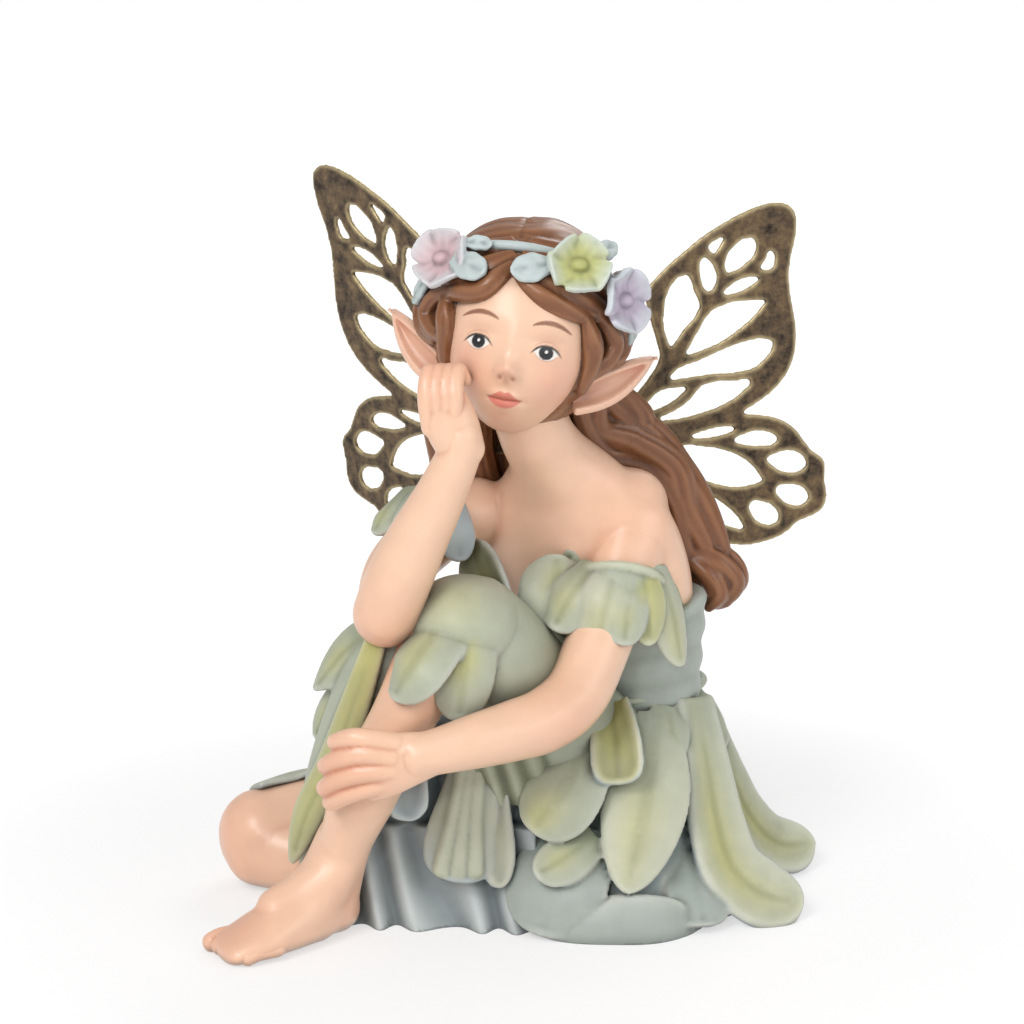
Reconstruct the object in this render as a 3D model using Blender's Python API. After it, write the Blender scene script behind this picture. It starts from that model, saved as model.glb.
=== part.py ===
# Seated garden fairy figurine: one resin casting and two pressed metal wings.
# Sizes are in millimetres and are scaled to metres when a mesh is made.
# +X is to the viewer's right, -Y is towards the viewer, +Z is up, and Z = 0 is the floor.
import math

import bmesh
import bpy
import numpy as np
from mathutils import Matrix, Vector

MM = 0.001

# Casting
CAST_VOXEL = 0.8
CAST_SMOOTHING = 2
CAST_TRIANGLES = 8700

# Head, in its own frame: +X to the viewer's right, -Y out of the face, +Z up
HEAD_CENTRE = (2.2, -15.0, 144.8)
HEAD_WIDTH = 37.5
HEAD_DEPTH = 44.0
HEAD_HEIGHT = 48.0
JAW_TAPER = 0.24
HEAD_TURN = -6.0
HEAD_NOD = 9.0
HEAD_ROLL = 9.5
EAR_LENGTH = 21.5
EAR_WIDTH = 9.6
EAR_INSET = 2.0

# Limbs
NECK_RADIUS = 9.2
UPPER_ARM_RADIUS = 8.2
FOREARM_RADIUS = 7.2
WRIST_RADIUS = 5.2
FINGER_RADIUS = 2.3
KNEE_RADIUS = 12.0
SHIN_RADIUS = 7.8
ANKLE_RADIUS = 6.6
TOE_RADIUS = 2.2

# Dress
PETAL_THICKNESS = 2.2
SKIRT_WALL_HEIGHT = 47.0
WAIST_CENTRE = (28.5, 11.0)
WAIST_HALF_WIDTH = 18.5
WAIST_HALF_DEPTH = 14.0
HEM_HALF_WIDTH = 41.0
HEM_HALF_DEPTH = 35.0

# Hair and flowers
HAIR_SHIFT = (0, 5.0, 2.2)
HAIR_SIDE = 4.3
HAIR_BACK = 1.6
HAIR_TOP = 1.2
VINE_RADIUS = 1.3
VINE_HEIGHT = 12.5
VINE_TILT = 7.0
FLOWER_BOSS = 1.9
LEAF_HALF_WIDTH = 3.4

# Wings: a pressed plate each, drawn in its own plane with +U out from the body and +V up
WING_THICKNESS = 1.2
WING_TAB_LENGTH = 9.0
WING_TAB_HEIGHT = 8.0
SLOT_CLEARANCE = 0.35
RIGHT_WING_ORIGIN = (32.9, 25.0, 111.6)
RIGHT_WING_HEADING = 12.0
RIGHT_WING_SIZE = 0.99
LEFT_WING_ORIGIN = (-8.6, 14.0, 115.6)
LEFT_WING_HEADING = -47.0
LEFT_WING_LEAN = 12.5
LEFT_WING_ROLL = -1.4
LEFT_WING_SIZE = 1.12


def clear_scene():
    for obj in list(bpy.data.objects):
        bpy.data.objects.remove(obj)


def unit(v):
    v = np.asarray(v, float)
    return v / max(np.linalg.norm(v), 1e-9)


def smooth_rows(rows, count):
    """Rows of numbers resampled along a Catmull-Rom curve, all columns together."""
    rows = np.array(rows, float)
    padded = np.vstack([2 * rows[0] - rows[1], rows, 2 * rows[-1] - rows[-2]])
    steps = np.linspace(0, len(rows) - 1, count)
    index = np.minimum(steps.astype(int), len(rows) - 2)
    t = (steps - index)[:, None]
    p0, p1, p2, p3 = (padded[index + k] for k in range(4))
    return 0.5 * (2 * p1 + (p2 - p0) * t + (2 * p0 - 5 * p1 + 4 * p2 - p3) * t**2
                  + (3 * p1 - p0 - 3 * p2 + p3) * t**3)


def tangents_of(points):
    tangents = np.gradient(points, axis=0)
    return tangents / np.maximum(np.linalg.norm(tangents, axis=1, keepdims=True), 1e-9)


def skin_rings(rings):
    """A closed mesh from rings of equal length, with a fan at each end."""
    rings = np.asarray(rings, float)
    n, m = rings.shape[:2]
    verts = np.vstack([rings.reshape(-1, 3), rings[0].mean(0), rings[-1].mean(0)])
    faces = []
    for i in range(n - 1):
        for j in range(m):
            k = (j + 1) % m
            faces.append((i * m + j, i * m + k, (i + 1) * m + k, (i + 1) * m + j))
    first, last = n * m, n * m + 1
    for j in range(m):
        k = (j + 1) % m
        faces.append((first, k, j))
        faces.append((last, (n - 1) * m + j, (n - 1) * m + k))
    return verts, faces


def frames_along(points, facing):
    """Side and facing vectors along a path: facing is made square to the path."""
    tangents = tangents_of(points)
    facing = np.broadcast_to(np.asarray(facing, float), points.shape)
    out = facing - (facing * tangents).sum(1, keepdims=True) * tangents
    out /= np.maximum(np.linalg.norm(out, axis=1, keepdims=True), 1e-9)
    side = np.cross(tangents, out)
    return side, out, tangents


def tube(rows, facing=(0, -1, 0), sides=14, steps=14, end=0.9):
    """A limb or roll: each row is x, y, z, half width across facing, half depth along it."""
    rows = smooth_rows(rows, steps)
    points = rows[:, :3]
    side, out, tangents = frames_along(points, facing)
    angles = np.linspace(0, 2 * math.pi, sides, endpoint=False)
    rings = []

    def ring(i, scale=1.0, push=0.0):
        centre = points[i] + tangents[i] * push
        across = np.outer(np.cos(angles), side[i] * rows[i, 3] * scale)
        along = np.outer(np.sin(angles), out[i] * rows[i, 4] * scale)
        return centre + across + along

    for t in (0.95, 0.7, 0.35):
        rings.append(ring(0, math.sqrt(1 - t * t), -t * end * min(rows[0, 3], rows[0, 4])))
    rings += [ring(i) for i in range(len(rows))]
    for t in (0.35, 0.7, 0.95):
        rings.append(ring(-1, math.sqrt(1 - t * t), t * end * min(rows[-1, 3], rows[-1, 4])))
    return skin_rings(rings)


def petal_width(s, base, widest, point):
    """Half width along a petal from 0 to 1: base share, place of the widest, and tip shape."""
    if s < widest:
        return base + (1 - base) * math.sin(0.5 * math.pi * s / widest)
    x = (s - widest) / (1 - widest)
    return max(1 - x**2.2, 0.0) ** point


def petal(spine, half_width, facing, curl=0.5, thickness=PETAL_THICKNESS, base=0.5,
          widest=0.6, point=0.5, ripple=0.0, sides=6, steps=10):
    """A thick leaf-shaped sheet along spine. curl bends its edges away from facing, in radians."""
    points = smooth_rows(spine, steps)
    points[-1] = points[-2] + (points[-1] - points[-2]) * 0.999
    side, out, _ = frames_along(points, facing)
    across = np.linspace(-1, 1, sides)
    rings = []
    for i, s in enumerate(np.linspace(0, 1, steps)):
        width = half_width * max(petal_width(s, base, widest, point), 0.06)
        front, back = [], []
        for v in across:
            angle = v * curl if abs(curl) > 1e-3 else v * 1e-3
            bend = curl if abs(curl) > 1e-3 else 1e-3
            arc = side[i] * math.sin(angle) + out[i] * (math.cos(angle) - 1)
            normal = out[i] * math.cos(angle) + side[i] * math.sin(angle)
            wave = ripple * v * v * math.sin(9.4 * s + 1.5 * v)
            centre = points[i] + arc * width / bend + normal * wave
            half = 0.5 * thickness * math.sqrt(max(1 - v**6, 0.08))
            front.append(centre + normal * half)
            back.append(centre - normal * half)
        rings.append(front + back[::-1])
    return skin_rings(rings)


def ball(centre, radii, turn=(0, 0, 0), level=3):
    """An ellipsoid, with radii along its own axes and turn in degrees about X, Y and Z."""
    mesh = bmesh.new()
    bmesh.ops.create_icosphere(mesh, subdivisions=level, radius=1)
    verts = np.array([v.co for v in mesh.verts])
    faces = [tuple(v.index for v in f.verts) for f in mesh.faces]
    mesh.free()
    return verts * radii @ rotation(*turn).T + centre, faces


def rotation(x, y, z):
    """Rotation matrix for turns in degrees about X, then Y, then Z."""
    x, y, z = (math.radians(a) for a in (x, y, z))
    rx = np.array([[1, 0, 0], [0, math.cos(x), -math.sin(x)], [0, math.sin(x), math.cos(x)]])
    ry = np.array([[math.cos(y), 0, math.sin(y)], [0, 1, 0], [-math.sin(y), 0, math.cos(y)]])
    rz = np.array([[math.cos(z), -math.sin(z), 0], [math.sin(z), math.cos(z), 0], [0, 0, 1]])
    return rz @ ry @ rx


HEAD_AXES = rotation(-HEAD_NOD, HEAD_ROLL, HEAD_TURN)


def on_head(point):
    """A point of the head's own frame in the part's frame."""
    return np.asarray(point, float) @ HEAD_AXES.T + HEAD_CENTRE


# Soft pushes that turn the egg of the skull into a face:
# centre, spread along each axis, and push, all in the head's own frame
FACE_PUSHES = [
    ((8.0, -18, -3.5), (4.6, 6, 3.4), (0, 1.9, 0)),
    ((8.0, -18, -4.0), (3.2, 5, 2.0), (0, -1.0, 0)),
    ((0, -20, -4.0), (1.8, 6, 3.6), (0, -1.1, 0)),
    ((0, -21, -9.2), (1.9, 6, 1.9), (0, -3.2, 0)),
    ((1.7, -20, -10.2), (1.1, 4, 1.1), (0, -0.9, 0)),
    ((10.5, -14, -12), (5.5, 6, 5.5), (0.8, -1.4, 0)),
    ((1.4, -20, -15.2), (1.5, 5, 0.9), (0, -1.0, 0)),
    ((0, -20, -17.3), (2.3, 5, 1.1), (0, -1.2, 0)),
    ((0, -20, -16.2), (3.4, 5, 0.4), (0, 0.6, 0)),
    ((0, -18, -19.4), (3.0, 5, 1.2), (0, 0.8, 0)),
    ((0, -17, -22.5), (3.8, 5, 2.8), (0, -1.8, -0.8)),
]


def head(level=4):
    """The skull with its face."""
    verts, faces = ball((0, 0, 0), (1, 1, 1), level=level)
    z = verts[:, 2]
    lower = np.clip(-z, 0, 1)
    p = verts * (HEAD_WIDTH / 2, HEAD_DEPTH / 2, HEAD_HEIGHT / 2)
    p[:, 0] *= 1 - JAW_TAPER * lower**1.9
    p[:, 1] *= 1 - 0.10 * lower**2
    p[:, 1] -= 2.0 * lower * (p[:, 1] > 0)
    for centre, spread, push in FACE_PUSHES:
        for mirror in ((1, -1) if centre[0] else (1,)):
            c = np.array(centre) * (mirror, 1, 1)
            falloff = np.exp(-0.5 * (((p - c) / spread) ** 2).sum(1))
            p = p + falloff[:, None] * np.array(push) * (mirror, 1, 1)
    return on_head(p), faces


def ears():
    """A long pointed ear on each side: a leaf cupped forwards."""
    shapes = []
    for side in (1, -1):
        root = np.array((side * (HEAD_WIDTH / 2 - EAR_INSET), -3.0, -12.0))
        reach = unit((side * 0.72, 0.40, 0.56)) * EAR_LENGTH
        spine = [root - reach * 0.15, root + reach * 0.4 + (0, 0, -1.2), root + reach]
        spine = [tuple(on_head(p)) for p in spine]
        shapes.append(petal(spine, EAR_WIDTH / 2, HEAD_AXES @ (side * 0.45, -0.85, 0.05),
                            curl=-0.7, thickness=2.4, base=0.8, widest=0.35, point=0.95))
    return shapes


def torso():
    return tube([
        (27, 12, 6, 24, 21), (27.5, 12, 24, 22, 18), (28.5, 11, 47, 18, 13.5),
        (27, 9, 61, 20, 14), (22.5, 6, 76, 24.5, 15.5), (17, 3.5, 88, 26.5, 14.5),
        (14, 1.5, 98, 25, 12), (12, -1, 106, 17.5, 10.5), (9, -5, 113, 10.5, 9.6),
        (6, -9, 119, NECK_RADIUS, 9), (3.5, -12, 127, NECK_RADIUS, 9)],
        facing=(-0.42, -0.9, 0), sides=28, steps=26)


def arms():
    upper, fore, wrist = UPPER_ARM_RADIUS, FOREARM_RADIUS, WRIST_RADIUS
    return [
        tube([(28.8, -1, 100.5, 10, 10), (28.8, -6.5, 91, 9.6, 9.2), (25, -14.5, 80, upper, upper),
              (20, -22.5, 68, upper - 0.2, upper - 0.2), (15, -30, 59.5, 7.9, 7.9),
              (8, -36.5, 55.5, 7.7, 7.7), (0, -41, 54, fore, fore), (-9, -45.5, 52.8, 6.4, 6.4),
              (-22.5, -49.5, 50.5, wrist, wrist)], sides=18, steps=34),
        tube([(-9, 6, 97, 9, 9), (-19, -2, 94, 8.6, 8.2), (-28, -17, 87, 7.6, 7.6),
              (-29.8, -31, 80, 7.4, 7.4)], sides=16, steps=14),
        tube([(-29.8, -31.5, 80, 8.2, 8.2), (-26, -33.5, 90, 7.9, 7.9), (-19, -36, 105, 6.8, 6.8),
              (-11.8, -38, 121, wrist, wrist + 0.4)], sides=16, steps=14),
    ]


def hands():
    """One hand props the cheek, the other clasps the shin."""
    shapes = [
        tube([(-11.5, -38, 120, 5.4, 5), (-13.5, -38, 127, 6.6, 4.6), (-16, -37.5, 134, 6.2, 4.2)],
             facing=(-0.5, -0.86, 0), sides=14, steps=8),
        tube([(-22, -49.5, 50.5, 5.0, 4.6), (-29, -50.5, 49.5, 6.6, 4.2), (-35, -50, 48.5, 7.6, 3.8)],
             facing=(0, -1, 0), sides=14, steps=8),
    ]
    for i in range(4):
        t = i / 3
        top = np.array((-20.2 + 6.6 * t, -35.5 - 4.0 * t, 137.5 - 0.8 * t))
        shapes.append(tube([(*(top + (1.5, 0, -9)), FINGER_RADIUS, FINGER_RADIUS),
                            (*(top + (0, 0, -2)), 2.4, 2.4),
                            (*(top + (2.0, 0.8, 0.6)), 2.2, 2.2),
                            (*(top + (5.5, 2.0, -2.0)), 2.0, 2.0)], sides=8, steps=9))
    for i in range(4):
        z = (54.6, 49.2, 44.2, 39.6)[i]
        knuckle = (-35.5 - 0.4 * i, -50.2, 53.6 - 4.4 * i)
        tip_x = (-42.8, -45.4, -45.8, -44.6)[i]
        shapes.append(tube([(*knuckle, 2.7, 2.5), (tip_x + 3.4, -48.0, z + 0.4, 2.5, 2.4),
                            (tip_x + 0.6, -43.5, z, 2.3, 2.3), (tip_x + 2.2, -39.5, z, 2.1, 2.1)],
                           sides=8, steps=9))
    return shapes


def legs():
    """The raised left leg with its foot, and the folded right leg."""
    shapes = [
        tube([(22, 6, 30, 18, 17), (6, -11, 56, 14.5, 14), (-8, -22, 71, 12.2, 12),
              (-14.5, -26.5, 75.5, KNEE_RADIUS - 0.5, KNEE_RADIUS - 0.5)], sides=18, steps=12),
        tube([(-15, -27, 75, 10.5, 10.5), (-21, -32, 65, 8.6, 9.5), (-26.5, -34, 54, SHIN_RADIUS, 8.8),
              (-35, -34, 37, 8.0, 8.6), (-40, -31.5, 24, ANKLE_RADIUS, 7.2), (-42.5, -30, 12, 6.0, 6.6)],
             sides=18, steps=18),
        tube([(-42.5, -28.5, 5.2, 5.8, 6.2), (-47, -33.5, 7.8, 7.4, 9.0), (-54, -40, 6.0, 8.2, 6.8),
              (-61, -44.5, 4.0, 9.0, 4.9), (-66.5, -47, 2.4, 8.8, 3.2)],
             facing=(0, 0, 1), sides=16, steps=14),
        ball((-46, -32.5, 14), (7, 7, 8)),
        tube([(12, 18, 16, 15, 15), (-20, 16, 15, 13.5, 14), (-48, 8, 14, 12.8, 13),
              (-64.5, 2.5, 12.8, KNEE_RADIUS, KNEE_RADIUS)], sides=18, steps=14),
        tube([(-64, 1, 10.5, 10.5, 10.5), (-46, -6, 8.5, 9, 8.5), (-24, -8, 8, 8, 8)], sides=16, steps=10),
    ]
    for i in range(5):
        t = i / 4
        x, y = -72.0 + 9.6 * t, -43.0 - 9.5 * t
        radius = TOE_RADIUS - 0.35 * t
        shapes.append(tube([(x + 7, y + 3.5, 2.8, radius, radius),
                            (x + 2.5, y + 1.0, 2.4, radius, radius),
                            (x, y - 0.4, 1.6, radius, radius * 0.9)], sides=8, steps=6))
    return shapes


def waist_point(angle, spread, height):
    """A point on the skirt: angle is measured from the front, spread 0 is the waist and 1 the hem."""
    half_x = WAIST_HALF_WIDTH + (HEM_HALF_WIDTH - WAIST_HALF_WIDTH) * spread
    half_y = WAIST_HALF_DEPTH + (HEM_HALF_DEPTH - WAIST_HALF_DEPTH) * spread
    a = math.radians(angle)
    return (WAIST_CENTRE[0] - 3 * spread + half_x * math.sin(a),
            WAIST_CENTRE[1] - 3 * spread - half_y * math.cos(a), height)


def dress():
    """Bodice, skirt body, and the drapery between the raised knee and the floor."""
    shapes = [
        tube([(28.5, 11, 40, 19.2, 14.6), (29, 11, 48, 19.5, 14.6), (28.3, 9.5, 57, 20.8, 14.8),
              (26.8, 8.2, 65, 22.8, 15.6)],
             facing=(-0.42, -0.9, 0), sides=28, steps=14, end=0.35),
        tube([(24, 7, -4, 42, 33), (24.5, 7.5, 4, 39, 31), (25.5, 9, 14, 32, 26), (27, 10, 28, 26, 20.5),
              (28.5, 11, 42, 19.5, 15), (28.5, 11, 48, 18.8, 14.4)],
             facing=(0, -1, 0), sides=28, steps=14, end=0.1),
        tube([(20, 0, 30, 21, 19), (5, -12, 52, 17, 15.5), (-8, -22, 70, 13.5, 13),
              (-14, -26, 75.5, 12.8, 12)], sides=18, steps=12),
    ]
    shapes.append(tube([(8, -33, 0.5, 2, 2.5), (15, -34.5, 1, 4, 5), (24, -34, 2, 5, 8),
                        (33, -34, 2, 5, 8), (40, -31.5, 1.5, 4, 6), (45, -28, 0.5, 2, 3)],
                       facing=(0, 0, 1), sides=14, steps=14))
    shapes.append(tube([(-27, -24, 72, 8, 6), (-35, -22, 60, 7.5, 6), (-42, -20, 44, 6.5, 5.5),
                        (-46, -18, 28, 6.5, 5.5), (-48, -16, 14, 6, 5)],
                       facing=(-0.5, -0.85, 0), sides=14, steps=12))
    for x, y, half_x, half_y, top in ((-26, -11, 11, 10, 44), (-8, -9, 14, 13, 56), (8, -5, 14, 16, 50)):
        shapes.append(tube([(x - 2, y, -4, half_x + 2, half_y + 1), (x - 1, y, 6, half_x + 1, half_y),
                            (x, y, top * 0.5, half_x, half_y),
                            (x + 2, y - 4, top, half_x - 3, half_y - 4)],
                           facing=(0, -1, 0), sides=16, steps=8))
    return shapes


# Petals placed by hand: spine points, half width, facing, curl, base, widest, point
KNEE_PETALS = [
    ([(-16, -36, 85), (-20, -42, 78), (-23.5, -44.5, 70.5), (-27.5, -43, 62.5)],
     8.6, (-0.4, -0.88, 0.3), 0.8, 0.6, 0.55, 0.45),
    ([(-11.5, -37, 85.5), (-11, -42, 76.5), (-11.5, -42.5, 67), (-12.5, -41, 57)],
     7.8, (0.1, -1, 0.2), 0.7, 0.8, 0.5, 0.35),
    ([(-4, -33, 79), (-3, -36.5, 68.5), (-3, -36, 58)],
     8.0, (0.5, -0.85, 0.2), 0.6, 0.8, 0.6, 0.4),
    ([(-33.5, -25, 74), (-40.5, -20, 67), (-48, -17, 57)],
     6.5, (-0.6, -0.75, 0.4), 0.6, 0.7, 0.4, 0.9),
    ([(-38, -22, 62), (-44, -18, 52), (-48, -16, 44.5)],
     6.0, (-0.75, -0.65, 0.1), 0.5, 0.6, 0.5, 0.6),
    ([(-40.5, -22, 51), (-45.5, -18, 42.5), (-48, -16, 36)],
     4.6, (-0.8, -0.6, 0), 0.5, 0.6, 0.5, 0.6),
    ([(-32.5, -31, 73), (-37.5, -29, 58), (-43.5, -26, 41), (-50, -24, 27.5), (-54, -22, 14.5)],
     5.0, (-0.35, -0.93, 0), 0.45, 0.6, 0.75, 0.4),
]
DRAPERY_PETALS = [
    ([(-24, -28, 41.5), (-25, -32, 35), (-26, -33, 29)], 5.4, (0.1, -1, 0), 0.8, 0.6, 0.6, 0.4),
    ([(-9.5, -24, 42.5), (-11.5, -29, 29), (-13.5, -33, 14.5)], 8.6, (0, -1, 0.1), 0.6, 0.4, 0.8, 0.4),
    ([(-5, -22, 41), (-4, -27, 26), (-3, -31, 11)], 4.4, (0.2, -1, 0.1), 0.7, 0.6, 0.7, 0.45),
    ([(-29.5, -20, 22), (-31.5, -26, 12.5), (-30, -28, 4)], 8.0, (-0.1, -1, 0.3), 0.6, 0.7, 0.7, 0.4),
    ([(-20, -22, 17.5), (-19.5, -28, 9.5), (-18.5, -31, 2.5)], 8.5, (0, -1, 0.4), 0.5, 0.6, 0.7, 0.45),
    ([(-11, -26, 15), (-9.5, -31, 9.5), (-8.5, -33, 2.5)], 8.0, (0, -1, 0.4), 0.5, 0.6, 0.7, 0.45),
    ([(-66, 4, 25), (-56, 12, 26), (-42, 16, 27)], 7.0, (-0.3, 0.3, 0.9), 0.4, 0.5, 0.6, 0.5),
]
SKIRT_PETALS = [
    ([(17.5, -17, 44), (15, -24, 37.5), (10.5, -29, 31.5), (4.5, -31, 25)],
     9.3, (-0.2, -0.93, 0.3), 0.45, 0.6, 0.6, 0.45),
    ([(20.5, -27, 23), (13, -33, 19.5), (5.5, -36, 16)],
     6.2, (-0.15, -0.88, 0.45), 0.4, 0.7, 0.5, 0.5),
    ([(36, -6, 48), (34.5, -17, 39), (32, -27, 28.5), (27.5, -36, 11.5)],
     11.2, (0.05, -0.88, 0.4), 0.4, 0.45, 0.55, 0.65),
    ([(24.5, -12, 52), (25.5, -22, 44.5), (26, -27, 36)],
     7.4, (-0.1, -0.9, 0.35), -0.9, 0.7, 0.7, 0.3),
    ([(39, -4, 49), (39.5, -9.5, 44.5), (41.5, -13.5, 38)],
     5.6, (0.3, -0.9, 0.35), 0.5, 0.8, 0.4, 0.7),
    ([(16, -24, 22), (10.5, -33, 13), (6.5, -36.5, 2)],
     12.0, (-0.2, -0.85, 0.5), 0.4, 0.7, 0.6, 0.4),
    ([(43, -20, 16), (45.5, -29, 7.5), (46.5, -33.5, 2)],
     8.0, (0.25, -0.8, 0.55), 0.3, 0.8, 0.6, 0.4),
    ([(45.5, 0, 50), (48.5, -8, 33.5), (50.5, -15, 21.5), (54, -20.5, 12), (61.5, -22.5, 5),
      (72, -22, 2.5)],
     8.8, (0.4, -0.82, 0.5), -0.35, 0.6, 0.75, 0.45),
    ([(48, 8, 47), (55, 8, 28), (60.5, 9, 15.5), (68.5, 11, 6.5), (79, 15, 5.5)],
     8.2, (0.55, -0.6, 0.6), -0.35, 0.5, 0.75, 0.5),
    ([(43, 6, 51), (49.5, 6, 43.5), (54, 6.5, 34.5)], 6.4, (0.75, -0.65, 0.2), 0.5, 0.5, 0.6, 0.5),
]
BODICE_PETALS = [
    ([(2, -20, 62), (-4, -18.5, 79), (-7.5, -13, 87), (-9.5, -8, 93)],
     7.2, (-0.6, -0.8, 0.2), 0.6, 0.5, 0.5, 0.75),
    ([(8, -20, 62), (9, -19, 77), (10.5, -15.5, 85), (11, -12, 90)],
     8.6, (0.1, -1, 0.1), 0.7, 0.6, 0.55, 0.5),
]
SLEEVE_PETALS = [
    ([(20.5, -17, 88), (14.5, -22, 81), (10.5, -22.5, 74)], 6.0, (-0.5, -0.85, 0.2), 0.6, 0.7, 0.6, 0.45),
    ([(24.5, -19, 88), (22.5, -24, 79.5), (20.5, -24.5, 71)], 7.0, (-0.1, -1, 0.1), 0.7, 0.7, 0.6, 0.45),
    ([(31.5, -14, 88), (32.5, -19, 78), (34.5, -20, 70)], 5.0, (0.4, -0.9, 0.1), -0.5, 0.8, 0.4, 0.7),
    ([(33, -11, 88), (35.5, -15.5, 75), (38.5, -16, 62.5)], 5.8, (0.7, -0.7, 0.1), 0.6, 0.7, 0.55, 0.55),
    ([(34.5, -6, 88), (38, -8, 78), (39.5, -8, 67)], 5.6, (0.95, -0.3, 0.2), 0.6, 0.8, 0.5, 0.6),
    ([(15, -11, 85), (14, -10, 91)], 3.0, (-0.3, -0.95, 0), 0.6, 0.9, 0.3, 0.8),
    ([(-25, 1, 104), (-30.5, -5, 99), (-33.5, -7, 93.5)], 5.8, (-0.8, -0.5, 0.4), 0.6, 0.7, 0.5, 0.6),
    ([(-15, -9, 103.5), (-13.5, -15, 97), (-12.5, -15.5, 89)], 6.4, (0.3, -0.95, 0.2), 0.6, 0.7, 0.6, 0.5),
    ([(-21, -6, 104.5), (-24, -13, 99), (-26, -17, 93)], 6.0, (-0.3, -0.8, 0.6), 0.6, 0.7, 0.6, 0.5),
]


def skirt_petals():
    """Petals round the sides and back, where the pattern of the front goes on."""
    shapes = []
    for i, angle in enumerate(range(112, 281, 24)):
        drop = 1.0 - 0.12 * (i % 2)
        spine = [waist_point(angle, 0.02, 48), waist_point(angle + 2, 0.35, 36),
                 waist_point(angle + 3, 0.72, 18), waist_point(angle + 3, 1.0 * drop, 6),
                 waist_point(angle + 4, 1.2 * drop, 3.5)]
        out = (math.sin(math.radians(angle)), -math.cos(math.radians(angle)), 0.45)
        shapes.append(petal(spine, 10.5, out, curl=-0.3, base=0.4, widest=0.7, point=0.55))
    for i, angle in enumerate(range(124, 281, 26)):
        spine = [waist_point(angle, 0.06, 50), waist_point(angle, 0.4, 40), waist_point(angle, 0.62, 27)]
        out = (math.sin(math.radians(angle)), -math.cos(math.radians(angle)), 0.3)
        shapes.append(petal(spine, 8.5, out, curl=0.35, base=0.5, widest=0.5, point=0.7))
    return shapes


def petals():
    placed = KNEE_PETALS + DRAPERY_PETALS + SKIRT_PETALS + BODICE_PETALS + SLEEVE_PETALS
    shapes = [petal(spine, width, facing, curl=curl, base=base, widest=widest, point=point)
              for spine, width, facing, curl, base, widest, point in placed]
    return shapes + skirt_petals()


def lock(path, half_width, half_thickness, facing=(0, 1, 0), steps=14):
    """One lock of hair, full in the middle and drawn out at its ends."""
    rows = []
    for i, point in enumerate(path):
        t = i / (len(path) - 1)
        swell = 0.55 + 0.45 * math.sin(math.pi * min(0.12 + 0.95 * t, 1.0))
        rows.append((*point, half_width * swell, half_thickness * swell))
    return tube(rows, facing=facing, sides=10, steps=steps)


def cap_point(turn, height, lift=0.0):
    """A point over the hair cap: turn in degrees from the front, height in the head's own frame."""
    across, deep, tall = hair_radii()
    level = math.sqrt(max(1 - ((height - HAIR_SHIFT[2]) / tall) ** 2, 0))
    a = math.radians(turn)
    return on_head(((across * level + lift) * math.sin(a),
                    HAIR_SHIFT[1] - (deep * level + lift) * math.cos(a), height))


def hair_radii():
    return HEAD_WIDTH / 2 + HAIR_SIDE, HEAD_DEPTH / 2 + HAIR_BACK, HEAD_HEIGHT / 2 + HAIR_TOP


# Locks over the forehead and temples in the head's own frame, drawn for one side and mirrored:
# path and half width
FRONT_LOCKS = [
    ([(0.3, -18.5, 14), (4.5, -20, 10.5), (9.5, -18.6, 7.2), (14.8, -13.8, 5.4), (18.5, -8.5, 1.5)], 3.0),
    ([(0.6, -17.5, 17.5), (6, -18.5, 14.5), (12, -16, 11.5), (17.5, -10.8, 8.5), (20.8, -5, 4)], 3.4),
    ([(1, -15, 20.5), (7, -15.2, 19), (13.5, -12.5, 16.5), (18.6, -8, 12.5), (21.5, -2.5, 8)], 3.6),
    ([(14.6, -14.6, 6.5), (17.6, -11.4, 1.5), (18.4, -10, -4.5), (17, -9, -11)], 3.0),
    ([(18.5, -9, 6), (21, -5.5, 0.5), (20.6, -5, -6), (18.6, -6, -11)], 3.2),
]
# Long locks behind the shoulders: path, half width and half thickness
LONG_LOCKS = [
    ([(15.5, -4, 126), (18, 1, 117), (25, 5, 111.5), (34, 8, 107.5), (40, 10, 98.5), (44, 11, 88),
      (47.5, 12, 76)], 4.4, 3.8),
    ([(19.5, -3, 128.5), (22.5, 2, 119), (30.5, 6, 114), (39, 9, 108), (44.5, 11, 97), (48.5, 12, 86),
      (51, 13, 74)], 4.6, 4.0),
    ([(23, -1, 130), (26, 4, 122.5), (34, 9, 116), (42.5, 11, 108), (47.5, 13, 97.5), (51.5, 14, 85.5),
      (54.5, 14.5, 76)], 4.2, 3.8),
    ([(25, 0, 130), (30, 6, 122.5), (34.5, 9, 117.5), (38, 10, 113.5)], 3.4, 3.0),
    ([(12, 0, 130), (14, 3, 119), (20, 7, 109), (28, 10, 100)], 5.4, 5.0),
    ([(-15, -2, 138), (-18, 2, 128), (-19, 4, 118), (-17.5, 7, 109)], 4.6, 4.2),
]
CURL_CENTRE = (54, 14, 74.5)
CURL_RADIUS = 5.2


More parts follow.
